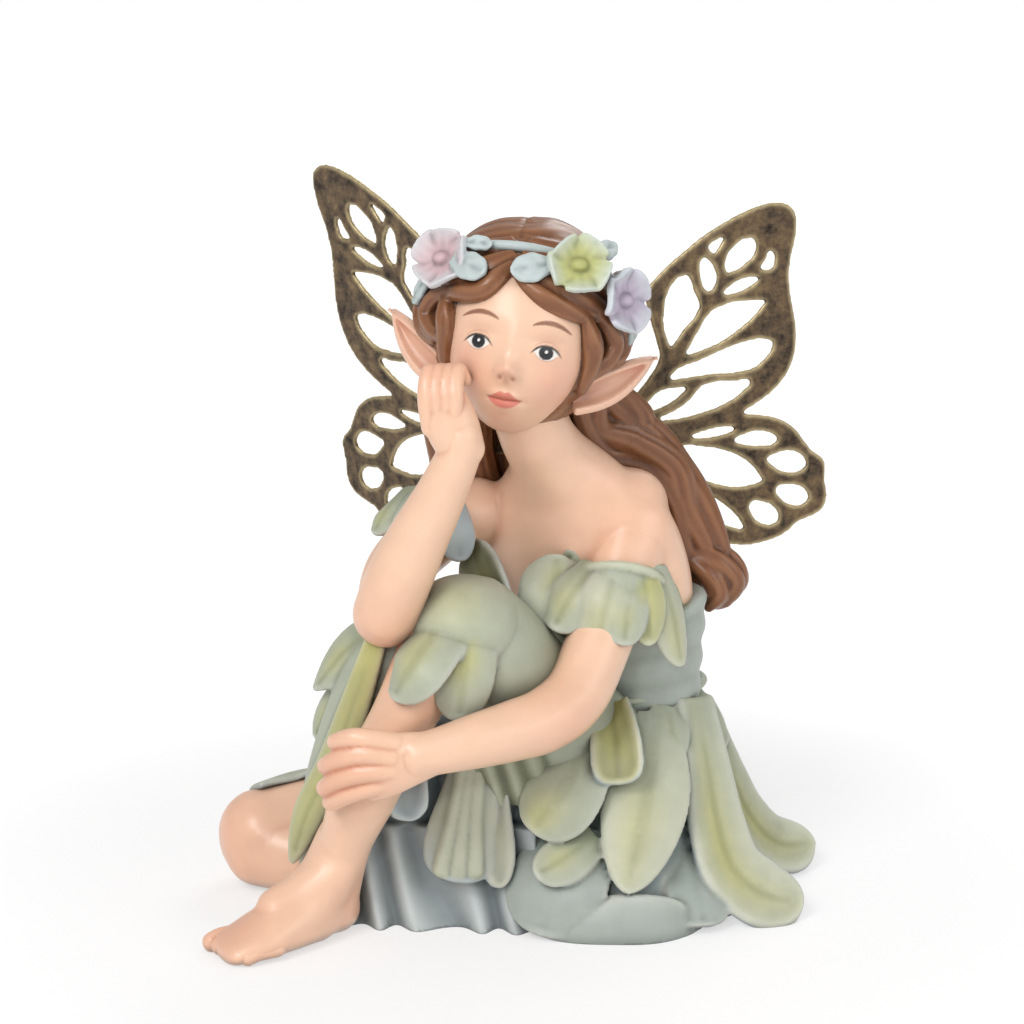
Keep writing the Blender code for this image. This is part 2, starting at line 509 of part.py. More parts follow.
def hair():
    """Skull cap, bangs, side locks and the long fall down the back."""
    turn = (-HEAD_NOD, HEAD_ROLL, HEAD_TURN)
    shapes = [ball(on_head(HAIR_SHIFT), hair_radii(), turn, level=3)]
    for side in (1, -1):
        for path, half_width in FRONT_LOCKS:
            spine = [on_head((side * x, y, z)) for x, y, z in path]
            shapes.append(lock(spine, half_width, 2.4, facing=HEAD_AXES @ (side * 0.5, -0.8, 0.2)))
    for x_top, x_nape, x_back, x_low, y_back, low in (
            (-10, -10, -9, -6, 10, 86), (-4, -4, -1, 3, 15, 80), (2, 2, 6, 12, 18, 76),
            (8, 8, 13, 22, 20, 73), (13, 14, 20, 32, 20, 72), (18, 19, 26, 40, 17, 73),
            (20, 22, 29.5, 46, 14, 76)):
        x_blade = (x_back + x_low) / 2
        path = [(x_top, 6, 150), (x_nape, y_back - 7, 128), (x_back, y_back, 112),
                (x_blade, y_back + 3, 97), (x_low, y_back + 2, low + 6), (x_low + 2, y_back, low)]
        shapes.append(lock(path, 6.2, 5.4))
    for path, half_width, half_thickness in LONG_LOCKS:
        shapes.append(lock(path, half_width, half_thickness))
    shapes.append(ball(CURL_CENTRE, (CURL_RADIUS, CURL_RADIUS, CURL_RADIUS)))
    return shapes


def flower(centre, facing, radius):
    """An open flower of five wide petals round a small boss."""
    facing = unit(facing)
    across = unit(np.cross((0, 0, 1), facing))
    up = np.cross(facing, across)
    centre = np.asarray(centre, float)
    boss = FLOWER_BOSS
    shapes = [ball(centre + facing * 0.6, (boss, boss, boss), level=2)]
    for i in range(5):
        a = math.radians(72 * i + 18)
        out = across * math.cos(a) + up * math.sin(a)
        spine = [centre + out * 0.8, centre + out * radius * 0.6 + facing * radius * 0.14,
                 centre + out * radius + facing * radius * 0.3]
        shapes.append(petal(spine, radius * 0.6, facing, curl=0.35, thickness=1.6, base=0.5,
                            widest=0.62, point=0.4, steps=6))
    return shapes


def leaf(start, tip, facing, half_width):
    middle = (np.asarray(start, float) + tip) / 2 + unit(facing) * 0.8
    return petal([start, middle, tip], half_width, facing, curl=0.4, thickness=1.6, base=0.4,
                 widest=0.5, point=0.6, steps=6)


# The garland: flowers as turn, height, lift, facing and radius; leaves as the turn, height and lift
# of both ends, and facing
FLOWERS = [
    (-56, 13, 3.2, (-0.5, -0.8, 0.35), 7.4), (31, 16.2, 3.2, (0.25, -0.9, 0.4), 7.4),
    (62, 12, 3.2, (0.85, -0.5, 0.25), 7.4), (112, 11, 2, (0.8, 0.5, 0.3), 6.4),
    (180, 7, 2, (0, 0.95, 0.3), 6.8), (240, 9, 2, (-0.8, 0.5, 0.3), 6.4),
]
LEAVES = [
    ((-40, 15, 2.5), (-19, 13, 5.5), (-0.2, -0.9, 0.3)),
    ((14.5, 17.5, 2.5), (-6.5, 12.5, 4.8), (0, -0.9, 0.3)),
    ((-75, 9, 0.6), (-82, 3.5, 4.5), (-0.8, -0.5, 0.1)), ((50, 16, 1), (55, 22, 8), (0.4, -0.7, 0.5)),
    ((72, 8, 0.6), (80, 2, 2.5), (0.85, -0.4, 0)), ((130, 9, 0.6), (150, 7, 2.5), (0.5, 0.8, 0.2)),
]


def garland():
    """A vine round the head, high over the forehead and low at the nape, with flowers and leaves."""
    vine = []
    for i in range(13):
        turn = 30 * i
        height = VINE_HEIGHT + VINE_TILT * math.cos(math.radians(turn))
        vine.append((*cap_point(turn, height, VINE_RADIUS), VINE_RADIUS, VINE_RADIUS))
    shapes = [tube(vine, facing=HEAD_AXES @ (0, 0, 1), sides=8, steps=40)]
    for turn, height, lift, facing, size in FLOWERS:
        shapes += flower(cap_point(turn, height, lift), HEAD_AXES @ facing, size)
    for start, tip, facing in LEAVES:
        shapes.append(leaf(cap_point(*start), cap_point(*tip), HEAD_AXES @ facing, LEAF_HALF_WIDTH))
    return shapes


def add_object(name, shapes):
    """One mesh object from a list of closed shapes, in metres."""
    verts, faces, offset = [], [], 0
    for shape_verts, shape_faces in shapes:
        verts.append(np.asarray(shape_verts))
        faces += [tuple(i + offset for i in face) for face in shape_faces]
        offset += len(shape_verts)
    mesh = bpy.data.meshes.new(name)
    mesh.from_pydata((np.vstack(verts) * MM).tolist(), [], faces)
    built = bmesh.new()
    built.from_mesh(mesh)
    bmesh.ops.recalc_face_normals(built, faces=built.faces)
    built.to_mesh(mesh)
    built.free()
    obj = bpy.data.objects.new(name, mesh)
    bpy.context.scene.collection.objects.link(obj)
    return obj


def apply_modifiers(obj):
    graph = bpy.context.evaluated_depsgraph_get()
    mesh = bpy.data.meshes.new_from_object(obj.evaluated_get(graph))
    obj.modifiers.clear()
    obj.data = mesh


def paint(obj, name, colour, roughness, metallic=0.0):
    material = bpy.data.materials.new(name)
    material.use_nodes = True
    shader = material.node_tree.nodes["Principled BSDF"]
    shader.inputs["Base Color"].default_value = (*colour, 1)
    shader.inputs["Roughness"].default_value = roughness
    shader.inputs["Metallic"].default_value = metallic
    obj.data.materials.clear()
    obj.data.materials.append(material)


def as_cutter(obj):
    """Hide an object that only cuts. A curve becomes a mesh in the same place."""
    bpy.context.view_layer.update()
    graph = bpy.context.evaluated_depsgraph_get()
    mesh = bpy.data.meshes.new_from_object(obj.evaluated_get(graph))
    cutter = bpy.data.objects.new(obj.name + "_cutter", mesh)
    cutter.matrix_world = obj.matrix_world
    bpy.data.objects.remove(obj)
    bpy.context.scene.collection.objects.link(cutter)
    merge_points(mesh)
    cutter.hide_render = True
    cutter.display_type = "WIRE"
    return cutter


def merge_points(mesh):
    built = bmesh.new()
    built.from_mesh(mesh)
    bmesh.ops.remove_doubles(built, verts=built.verts, dist=0.001 * MM)
    bmesh.ops.recalc_face_normals(built, faces=built.faces)
    built.to_mesh(mesh)
    built.free()


def box_cutter(name, low, high):
    """A hidden block from its two corners, in millimetres."""
    mesh = bmesh.new()
    bmesh.ops.create_cube(mesh, size=1)
    size = np.subtract(high, low) * MM
    bmesh.ops.scale(mesh, vec=Vector(size), verts=mesh.verts)
    bmesh.ops.translate(mesh, vec=Vector(np.add(high, low) / 2 * MM), verts=mesh.verts)
    data = bpy.data.meshes.new(name)
    mesh.to_mesh(data)
    mesh.free()
    obj = bpy.data.objects.new(name, data)
    bpy.context.scene.collection.objects.link(obj)
    obj.hide_render = True
    obj.display_type = "WIRE"
    return obj


def cut(obj, cutter):
    modifier = obj.modifiers.new("cut " + cutter.name, "BOOLEAN")
    modifier.object = cutter
    modifier.operation = "DIFFERENCE"


def casting():
    """The whole resin figure: every form joined in one skin, then cut flat underneath."""
    shapes = [head(), torso()] + ears() + arms() + hands() + legs() + dress() + petals()
    shapes += hair() + garland()
    obj = add_object("resin_figure", shapes)
    remesh = obj.modifiers.new("one skin", "REMESH")
    remesh.mode = "VOXEL"
    remesh.voxel_size = CAST_VOXEL * MM
    smooth = obj.modifiers.new("soften", "SMOOTH")
    smooth.factor = 0.5
    smooth.iterations = CAST_SMOOTHING
    apply_modifiers(obj)
    decimate = obj.modifiers.new("thin out", "DECIMATE")
    decimate.ratio = CAST_TRIANGLES / (2 * len(obj.data.polygons))
    apply_modifiers(obj)
    below = box_cutter("below_floor", (-200, -200, -60), (200, 200, 0))
    cut(obj, below)
    return obj


# The wing plate: points in millimetres as (U, V), with a third value "c" where the edge has a corner
WING_OUTLINE = [
    (0.5, 38.5, "c"), (5.5, 44), (11.5, 49), (16, 52.5), (21.5, 55.8), (27, 58.6), (32.2, 60.4),
    (35.7, 60.9), (38.8, 60.2), (40.6, 58.3), (41.1, 55.5), (40.8, 51), (39.8, 46.5), (39.4, 42.5),
    (39.8, 38), (41.2, 31), (41.8, 26), (41.2, 20.5), (39.8, 16.8), (36.7, 12.7), (32.4, 9.3),
    (27, 6.1, "c"), (33.2, 5.4), (38, 4.2), (42.5, 1.1), (46.6, -4.3), (49, -5.9), (50.6, -8),
    (50.6, -12.5), (51.4, -16.5), (50.5, -20), (47.6, -22.1), (43.3, -23.6), (41.4, -25.5),
    (38, -27.5), (34, -28.7), (29.6, -29.3), (23, -28.4), (16.5, -25.4), (10.5, -19.5), (5.5, -12),
    (0, -6.5), (-6, -4.5, "c")]
WING_STEM = [(-8, 4.5, "c"), (-4.5, 8.2), (-1.2, 12.2), (3.7, 18.5), (5, 21.8), (4.6, 24),
             (3.2, 28.5), (1.6, 34)]
WING_HOLES = [
    [(22.3, 52.7, "c"), (18.6, 50.9), (17.4, 49.6), (19.3, 47.9, "c")],
    [(29.5, 51.8), (30.3, 48.6), (29, 46.4), (23.2, 43), (22.4, 43.4), (22.3, 46.5), (24.2, 49.6)],
    [(34.4, 48.7), (35.3, 44.8), (34.6, 43.7), (31.4, 43.9, "c"), (33, 46.3)],
    [(16.2, 47.1), (15.4, 44), (16, 40.6), (17.8, 38.2), (19.8, 40.6), (19.6, 43.4), (18, 46)],
    [(32.2, 41.6, "c"), (28.8, 41.7), (25, 40.6), (21.2, 37.4, "c"), (24, 37.5), (28, 38.8)],
    [(12, 42.7), (7.4, 39.4), (6.1, 34), (6.2, 28.4), (8, 23.8, "c"), (11.5, 28.8), (15.6, 34.3),
     (13.8, 38.4)],
    [(33.5, 35.6, "c"), (29.5, 35.7), (19.2, 33.6), (15.8, 29), (11.6, 21.6, "c"), (20.4, 24.6),
     (26.4, 28.4), (30.6, 32)],
    [(35.5, 24.2), (33.3, 20.2), (29.7, 17.7), (20, 16.9), (7.3, 15.4, "c"), (9.6, 18.2), (15, 20.1),
     (22, 23), (29, 25.2), (34.4, 25.3)],
    [(29.6, 14.7), (26, 14.7), (16.7, 13.9), (13.5, 10.3), (8.6, 7), (2.8, 5, "c"), (9.7, 5.2),
     (17, 6.8), (23, 8.9), (28, 12.3)],
    [(12.8, 13.5, "c"), (8.8, 13.4), (5, 12.6), (2.4, 10.3), (-0.4, 7, "c"), (4.5, 8), (9.5, 10.5)],
    [(27.1, 2.6, "c"), (22, 2.7), (17, 1.7), (11.5, 0, "c"), (18, 0), (23.5, 0.9)],
    [(32.6, 1.2), (30, 1.1), (24.4, -1, "c"), (28.5, -2.3), (33, -2.6), (37.4, -1.6), (36, 0.3)],
    [(41, -4.3), (38.4, -4.5), (34.1, -6.1, "c"), (37, -8.8), (40.4, -10.1), (45.2, -8.9), (45.2, -7),
     (43.6, -5.3)],
    [(43.4, -13.8), (41, -13.5), (37.2, -14.1), (38.4, -16.9), (41.2, -18.8), (45.6, -18.5), (46, -16)],
    [(33.4, -17.7), (30.2, -17.8), (30.6, -20.8), (33.4, -23.6), (37.8, -23.3), (37.4, -20)],
    [(9.5, -2.6), (17, -2.4), (23, -3.6), (28, -5.9), (31.4, -8.9), (33.6, -12.2, "c"), (27.4, -13.5),
     (20.5, -12.3), (14, -9.4), (9, -5.6)],
    [(12.5, -12.4, "c"), (17.5, -14.5), (23.1, -18.1), (27, -21.8), (29, -25.2, "c"), (24, -23.8),
     (18.5, -20.8), (14, -16.5)],
]


def root_tab():
    """The tongue at the wing's root that sits in the slot in the figure's back."""
    half = WING_TAB_HEIGHT / 2
    inner = WING_OUTLINE[-1][0] - WING_TAB_LENGTH
    return [(inner, -half, "c"), (inner, half, "c")]


def add_spline(curve, points, mirror, size):
    """One closed Bezier loop. A point marked c keeps its corner."""
    spline = curve.splines.new("BEZIER")
    spline.bezier_points.add(len(points) - 1)
    spline.use_cyclic_u = True
    for knot, point in zip(spline.bezier_points, points):
        knot.co = (point[0] * mirror * size * MM, point[1] * size * MM, 0)
        kind = "VECTOR" if len(point) > 2 else "AUTO"
        knot.handle_left_type = kind
        knot.handle_right_type = kind


def wing_curve(name, mirror, size, clearance=0.0):
    """The wing's flat shape. With a clearance it is the blank that cuts the wing's slot."""
    curve = bpy.data.curves.new(name, "CURVE")
    curve.dimensions = "2D"
    curve.fill_mode = "BOTH"
    curve.resolution_u = 2
    add_spline(curve, WING_OUTLINE + root_tab() + WING_STEM, mirror, size)
    curve.extrude = (WING_THICKNESS / 2 + clearance) * MM
    curve.offset = clearance * MM
    if not clearance:
        for hole in WING_HOLES:
            add_spline(curve, hole, mirror, size)
    return curve


def place_wing(obj, origin, heading, lean, roll):
    """Stand a wing upright at its root, then turn it about the vertical."""
    bpy.context.scene.collection.objects.link(obj)
    obj.location = [c * MM for c in origin]
    upright = Matrix.Rotation(math.radians(90), 3, "X")
    obj.rotation_euler = (Matrix(rotation(lean, roll, heading).tolist()) @ upright).to_euler()
    return obj


def add_wings(figure):
    """Both wings, each with the slot that its tab needs in the figure."""
    poses = {"wing_right": (1, RIGHT_WING_SIZE, (RIGHT_WING_ORIGIN, RIGHT_WING_HEADING, 0, 0)),
             "wing_left": (-1, LEFT_WING_SIZE,
                           (LEFT_WING_ORIGIN, LEFT_WING_HEADING, LEFT_WING_LEAN, LEFT_WING_ROLL))}
    for name, (mirror, size, pose) in poses.items():
        plate = place_wing(bpy.data.objects.new(name, wing_curve(name, mirror, size)), *pose)
        paint(plate, "aged brass", (0.30, 0.24, 0.14), 0.45, 1.0)
        blank = wing_curve(name + "_slot", mirror, size, SLOT_CLEARANCE)
        slot = place_wing(bpy.data.objects.new(name + "_slot", blank), *pose)
        cut(figure, as_cutter(slot))


def main():
    clear_scene()
    figure = casting()
    paint(figure, "painted resin", (0.72, 0.60, 0.50), 0.5)
    add_wings(figure)


main()
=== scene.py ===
# %% [markdown]
# # A seated garden fairy in painted resin
#
# The real ornament is one resin casting, painted by hand and airbrush, with two pressed metal wings.
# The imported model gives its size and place. This lesson builds the finer surfaces over it: skin, face,
# hair, garland, leaf-petal dress and pierced wings. Every number is a real size in millimetres, and one
# scale factor turns it to metres when a mesh is made.

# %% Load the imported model
import math

import bmesh
import bpy
import numpy as np
from mathutils import Matrix, Vector, kdtree


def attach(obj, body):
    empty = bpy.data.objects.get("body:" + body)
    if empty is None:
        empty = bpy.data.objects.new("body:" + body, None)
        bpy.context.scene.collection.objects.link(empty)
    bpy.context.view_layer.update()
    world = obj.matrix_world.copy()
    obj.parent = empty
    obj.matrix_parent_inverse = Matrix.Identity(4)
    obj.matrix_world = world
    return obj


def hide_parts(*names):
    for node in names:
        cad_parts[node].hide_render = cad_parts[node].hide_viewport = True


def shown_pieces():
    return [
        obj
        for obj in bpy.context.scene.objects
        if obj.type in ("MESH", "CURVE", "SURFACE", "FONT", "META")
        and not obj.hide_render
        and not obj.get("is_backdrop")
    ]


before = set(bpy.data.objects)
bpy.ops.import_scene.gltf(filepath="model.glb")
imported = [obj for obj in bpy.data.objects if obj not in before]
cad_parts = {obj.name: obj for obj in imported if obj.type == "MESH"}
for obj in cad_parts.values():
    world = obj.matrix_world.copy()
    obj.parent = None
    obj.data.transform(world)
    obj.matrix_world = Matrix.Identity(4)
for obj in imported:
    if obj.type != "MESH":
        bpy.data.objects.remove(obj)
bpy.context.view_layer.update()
MM = 0.001
print("nodes:", sorted(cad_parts))

# %% [markdown]
# ## Camera and light
#
# The photo is a studio shot from a little above with a long lens, so the sides hardly converge. An 85 mm
# lens at 600 mm gives that. Large soft lamps keep the paint's colours near the values that are written,
# and a small brighter one leaves the thin highlights that satin paint shows.

# %% Camera
CAMERA_LENS = 85
CAMERA_DISTANCE = 600
CAMERA_ELEVATION = 12
CAMERA_TARGET = (0, 0, 98)
CLIP_START = 20


def add_camera():
    data = bpy.data.cameras.new("camera")
    data.lens = CAMERA_LENS
    data.clip_start = CLIP_START * MM
    camera = bpy.data.objects.new("camera", data)
    bpy.context.scene.collection.objects.link(camera)
    lift = math.radians(CAMERA_ELEVATION)
    back = Vector((0, -math.cos(lift), math.sin(lift)))
    camera.location = (Vector(CAMERA_TARGET) + back * CAMERA_DISTANCE) * MM
    camera.rotation_euler = (math.radians(90 - CAMERA_ELEVATION), 0, 0)
    bpy.context.scene.camera = camera


add_camera()
bpy.context.scene.view_settings.view_transform = "Standard"
print("camera:", CAMERA_LENS, "mm lens from", CAMERA_DISTANCE, "mm")


# %% Lamps
LAMP_AIM = (0, 0, 90)


def add_lamp(name, place, size, watts):
    """A square soft box at a place in millimetres, aimed at the figure's middle."""
    data = bpy.data.lights.new(name, "AREA")
    data.size = size * MM
    data.energy = watts
    lamp = bpy.data.objects.new(name, data)
    bpy.context.scene.collection.objects.link(lamp)
    lamp.location = Vector(place) * MM
    aim = Vector(LAMP_AIM) * MM - lamp.location
    lamp.rotation_euler = aim.to_track_quat("-Z", "Y").to_euler()


add_lamp("key", (-450, -700, 800), 420, 4.85)
add_lamp("fill", (750, -600, 450), 600, 2.1)
add_lamp("sparkle", (-150, -900, 500), 90, 1.5)
add_lamp("rim", (300, 700, 700), 500, 2.3)
print("lamps:", len(bpy.data.lights))


# %% [markdown]
# ## Materials as node graphs
#
# A node graph needs the same few lines over and over: make the node, set its values, link its inputs.
# One function does all three. Colours are written as sRGB hex, as a paint chart has them, and turned to
# the linear values that Blender works in.

# %% Colour and node helpers
def linear(code):
    """The linear colour of an sRGB hex code."""
    values = np.array([int(code[i:i + 2], 16) for i in (1, 3, 5)]) / 255
    return np.where(values <= 0.04045, values / 12.92, ((values + 0.055) / 1.055) ** 2.4)


def add_node(tree, kind, settings=(), **inputs):
    """A node with its settings, and its inputs set to a value or linked to another node's output."""
    node = tree.nodes.new(kind)
    for key, value in dict(settings).items():
        setattr(node, key, value)
    for key, value in inputs.items():
        socket = node.inputs[int(key[1:])] if key[1:].isdigit() else node.inputs[key.replace("_", " ")]
        if isinstance(value, bpy.types.NodeSocket):
            tree.links.new(value, socket)
        else:
            socket.default_value = value
    return node


def new_material(name):
    material = bpy.data.materials.new(name)
    material.use_nodes = True
    tree = material.node_tree
    return material, tree, tree.nodes["Principled BSDF"]


# %% [markdown]
# ## Floor
#
# White card under the ornament. For the camera the card is blended with plain white, half and half by the
# figurine and wholly a hand's width away. So the ground is as white as a cut-out background and still
# holds the soft shadow that shows where the figurine stands.

# %% Floor and backdrop
SHADOW_NEAR = 0.10
SHADOW_FAR = 0.26
NEAR_WHITE = 0.5
CARD_GLOW = 1.12
CARD_HALF = 4.0
CARD_TONE = 0.9
CARD_ROUGHNESS = 0.9
WORLD_LIGHT = 0.44
WORLD_SEEN = 1.0


def white_to_camera(tree, shader, share):
    """Blend a shader with white light for the camera, and for what glossy surfaces reflect."""
    path = add_node(tree, "ShaderNodeLightPath")
    seen = add_node(tree, "ShaderNodeMath", {"operation": "MAXIMUM"},
                    i0=path.outputs["Is Camera Ray"], i1=path.outputs["Is Glossy Ray"])
    amount = add_node(tree, "ShaderNodeMath", {"operation": "MULTIPLY"}, i0=seen.outputs[0], i1=share)
    white = add_node(tree, "ShaderNodeEmission", Color=(1, 1, 1, 1), Strength=CARD_GLOW)
    return add_node(tree, "ShaderNodeMixShader", Fac=amount.outputs[0], i1=shader, i2=white.outputs[0])


def add_floor():
    mesh = bpy.data.meshes.new("floor")
    corners = [(x * CARD_HALF, y * CARD_HALF, 0) for x, y in ((-1, -1), (1, -1), (1, 1), (-1, 1))]
    mesh.from_pydata(corners, [], [(0, 1, 2, 3)])
    floor = bpy.data.objects.new("floor", mesh)
    bpy.context.scene.collection.objects.link(floor)
    material, tree, shader = new_material("white_card")
    shader.inputs["Base Color"].default_value = (CARD_TONE, CARD_TONE, CARD_TONE, 1)
    shader.inputs["Roughness"].default_value = CARD_ROUGHNESS
    place = add_node(tree, "ShaderNodeTexCoord").outputs["Object"]
    away = add_node(tree, "ShaderNodeVectorMath", {"operation": "LENGTH"}, i0=place)
    share = add_node(tree, "ShaderNodeMapRange", {"interpolation_type": "SMOOTHSTEP"},
                     Value=away.outputs["Value"], i1=SHADOW_NEAR, i2=SHADOW_FAR, i3=NEAR_WHITE, i4=1.0)
    mix = white_to_camera(tree, shader.outputs[0], share.outputs[0])
    tree.links.new(mix.outputs[0], tree.nodes["Material Output"].inputs["Surface"])
    mesh.materials.append(material)
    floor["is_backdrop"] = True


def add_world():
    world = bpy.data.worlds.new("studio")
    bpy.context.scene.world = world
    world.use_nodes = True
    tree = world.node_tree
    path = add_node(tree, "ShaderNodeLightPath")
    strength = add_node(tree, "ShaderNodeMapRange", Value=path.outputs["Is Camera Ray"],
                        i3=WORLD_LIGHT, i4=WORLD_SEEN)
    tree.links.new(strength.outputs[0], tree.nodes["Background"].inputs["Strength"])
    tree.nodes["Background"].inputs["Color"].default_value = (1, 1, 1, 1)


add_floor()
add_world()
print("stage ready")


# %% [markdown]
# ## Forms: closed skins with two surface directions
#
# A sculptor thinks in limbs, petals and locks. Each is a closed skin here that also knows, at every
# point, how far along and across it lies. Those two numbers later carry the paint and the fine carving.

# %% The form and its curves
class Form:
    """A closed skin in millimetres, with each point's place along and across it, its paint and relief."""

    def __init__(self, points, faces, along, across):
        self.points = np.asarray(points, float)
        self.faces = faces
        self.along = np.asarray(along, float)
        self.across = np.asarray(across, float)
        self.paint = np.ones((len(self.points), 3))
        self.relief = np.zeros(len(self.points))


def unit(v):
    v = np.asarray(v, float)
    return v / np.maximum(np.linalg.norm(v, axis=-1, keepdims=True), 1e-9)


def smooth_rows(rows, count):
    """Rows of numbers resampled along a Catmull-Rom curve, all columns together."""
    rows = np.array(rows, float)
    padded = np.vstack([2 * rows[0] - rows[1], rows, 2 * rows[-1] - rows[-2]])
    steps = np.linspace(0, len(rows) - 1, count)
    index = np.minimum(steps.astype(int), len(rows) - 2)
    t = (steps - index)[:, None]
    p0, p1, p2, p3 = (padded[index + k] for k in range(4))
    return 0.5 * (2 * p1 + (p2 - p0) * t + (2 * p0 - 5 * p1 + 4 * p2 - p3) * t**2
                  + (3 * p1 - p0 - 3 * p2 + p3) * t**3)


def frames_along(points, facing):
    """Tangent, side and outward vectors along a path."""
    tangents = unit(np.gradient(points, axis=0))
    facing = facing(points) if callable(facing) else facing
    facing = np.broadcast_to(np.asarray(facing, float), points.shape)
    out = unit(facing - (facing * tangents).sum(1, keepdims=True) * tangents)
    return tangents, np.cross(tangents, out), out


def skin_rings(rings, along, across):
    """A form from rings of equal length, closed by a fan at each end."""
    rings = np.asarray(rings, float)
    n, m = rings.shape[:2]
    points = np.vstack([rings.reshape(-1, 3), rings[0].mean(0), rings[-1].mean(0)])
    faces = []
    for i in range(n - 1):
        for j in range(m):
            k = (j + 1) % m
            faces.append((i * m + j, i * m + k, (i + 1) * m + k, (i + 1) * m + j))
    for j in range(m):
        k = (j + 1) % m
        faces.append((n * m, k, j))
        faces.append((n * m + 1, (n - 1) * m + j, (n - 1) * m + k))
    along = np.append(np.repeat(along, m), [along[0], along[-1]])
    across = np.append(np.tile(across, n), [0, 0])
    return Form(points, faces, along, across)


def tube(rows, facing=(0, -1, 0), sides=28, steps=50, end=0.9):
    """A limb: each row is x, y, z, half width across facing and half depth along it."""
    rows = smooth_rows(rows, steps)
    points = rows[:, :3]
    tangents, side, out = frames_along(points, facing)
    angles = np.linspace(0, 2 * math.pi, sides, endpoint=False)
    rings, along = [], []

    def ring(i, scale, push):
        across = np.outer(np.cos(angles), side[i] * rows[i, 3] * scale)
        outward = np.outer(np.sin(angles), out[i] * rows[i, 4] * scale)
        rings.append(points[i] + tangents[i] * push + across + outward)
        along.append(i / (steps - 1))

    caps = (0.3, 0.6, 0.8, 0.95)
    for t in reversed(caps):
        ring(0, math.sqrt(1 - t * t), -t * end * min(rows[0, 3:]))
    for i in range(steps):
        ring(i, 1, 0)
    for t in caps:
        ring(steps - 1, math.sqrt(1 - t * t), t * end * min(rows[-1, 3:]))
    return skin_rings(rings, along, angles)


def rotation(x, y, z):
    """Rotation matrix for turns in degrees about X, then Y, then Z."""
    return np.array(Matrix.Rotation(math.radians(z), 3, "Z") @ Matrix.Rotation(math.radians(y), 3, "Y")
                    @ Matrix.Rotation(math.radians(x), 3, "X"))


def ball(centre, radii, turn=(0, 0, 0), sides=48):
    """An ellipsoid, its along running pole to pole and its across round it."""
    lift = np.linspace(-90, 90, sides // 2 + 1)[1:-1]
    angles = np.linspace(0, 2 * math.pi, sides, endpoint=False)
    rings = []
    for angle in np.radians(lift):
        ring = np.stack([np.cos(angles) * math.cos(angle), np.sin(angles) * math.cos(angle),
                         np.full(sides, math.sin(angle))], 1)
        rings.append(ring * radii @ rotation(*turn).T + centre)
    return skin_rings(rings, (lift + 90) / 180, angles)


print("a ball has", len(ball((0, 0, 0), (1, 1, 1)).points), "points")


# %% [markdown]
# ## Petals
#
# The dress is cast as leaf-shaped petals: a thin sheet with a vein down the middle and a raised lip round
# its edge. The sheet is swept along a short spine. Its half width follows a leaf curve, its edges curl,
# and the front is lifted near the outline and sunk along the vein.

# %% Petal builder
PETAL_THICKNESS = 1.9
PETAL_LIP = 0.4
PETAL_LIP_WIDTH = 1.1
PETAL_VEIN = 0.28
PETAL_VEIN_WIDTH = 0.55


def leaf_width(s, base, widest, point):
    """Half width from 0 to 1: share at the base, place of the widest, and how blunt the tip is."""
    rise = base + (1 - base) * np.sin(0.5 * math.pi * np.clip(s / widest, 0, 1))
    fall = np.maximum(1 - (np.clip(s - widest, 0, 1) / (1 - widest)) ** 2.2, 0) ** point
    return np.where(s < widest, rise, fall)


def petal(spine, half_width, facing, curl=0.5, base=0.5, widest=0.6, point=0.5, ripple=0.0,
          thickness=PETAL_THICKNESS, lip=PETAL_LIP, vein=PETAL_VEIN, steps=44, sides=26):
    t = np.linspace(0, 1, steps)
    s = 1 - (1 - t) ** 1.35
    dense = smooth_rows(spine, 200)
    points = np.stack([np.interp(s, np.linspace(0, 1, 200), dense[:, k]) for k in range(3)], 1)
    length = np.linalg.norm(np.diff(dense, axis=0), axis=1).sum()
    tangents, side, out = frames_along(points, facing)
    width = half_width * np.maximum(leaf_width(s, base, widest, point), 0.05)
    v = np.sin(np.linspace(-math.pi / 2, math.pi / 2, sides))
    bend = curl if abs(curl) > 1e-3 else 1e-3
    angle = v * bend
    rings = []
    for i in range(steps):
        flat = np.outer(np.sin(angle), side[i]) + np.outer(np.cos(angle) - 1, out[i])
        normal = np.outer(np.cos(angle), out[i]) + np.outer(np.sin(angle), side[i])
        wave = ripple * v * v * np.sin(9.4 * s[i] + 1.5 * v)
        centre = points[i] + flat * width[i] / bend + normal * wave[:, None]
        half = 0.5 * thickness * np.sqrt(np.maximum(1 - v**8, 0.05))
        edge = np.minimum((1 - np.abs(v)) * width[i], (1 - s[i]) * length)
        raised = lip * np.exp(-(((edge - 0.5) / PETAL_LIP_WIDTH) ** 2)) * (1 - v**8)
        sunk = vein * np.exp(-((v * width[i] / PETAL_VEIN_WIDTH) ** 2)) * min(1, 3 * s[i]) * (s[i] < 0.93)
        front = centre + normal * (half + raised - sunk)[:, None]
        rings.append(np.vstack([front, (centre - normal * half[:, None])[::-1]]))
    form = skin_rings(rings, s, np.append(v, v[::-1]))
    ring_edge = (1 - np.abs(form.across)) * np.append(np.repeat(width, 2 * sides), [width[0], width[-1]])
    form.edge = np.minimum(ring_edge, (1 - form.along) * length)
    form.back = np.append(np.tile(np.repeat([0.0, 1.0], sides), steps), [1.0, 1.0])
    return form


print("a petal has", len(petal([(0, 0, 0), (0, 0, 5), (0, 1, 10)], 3, (0, -1, 0)).points), "points")
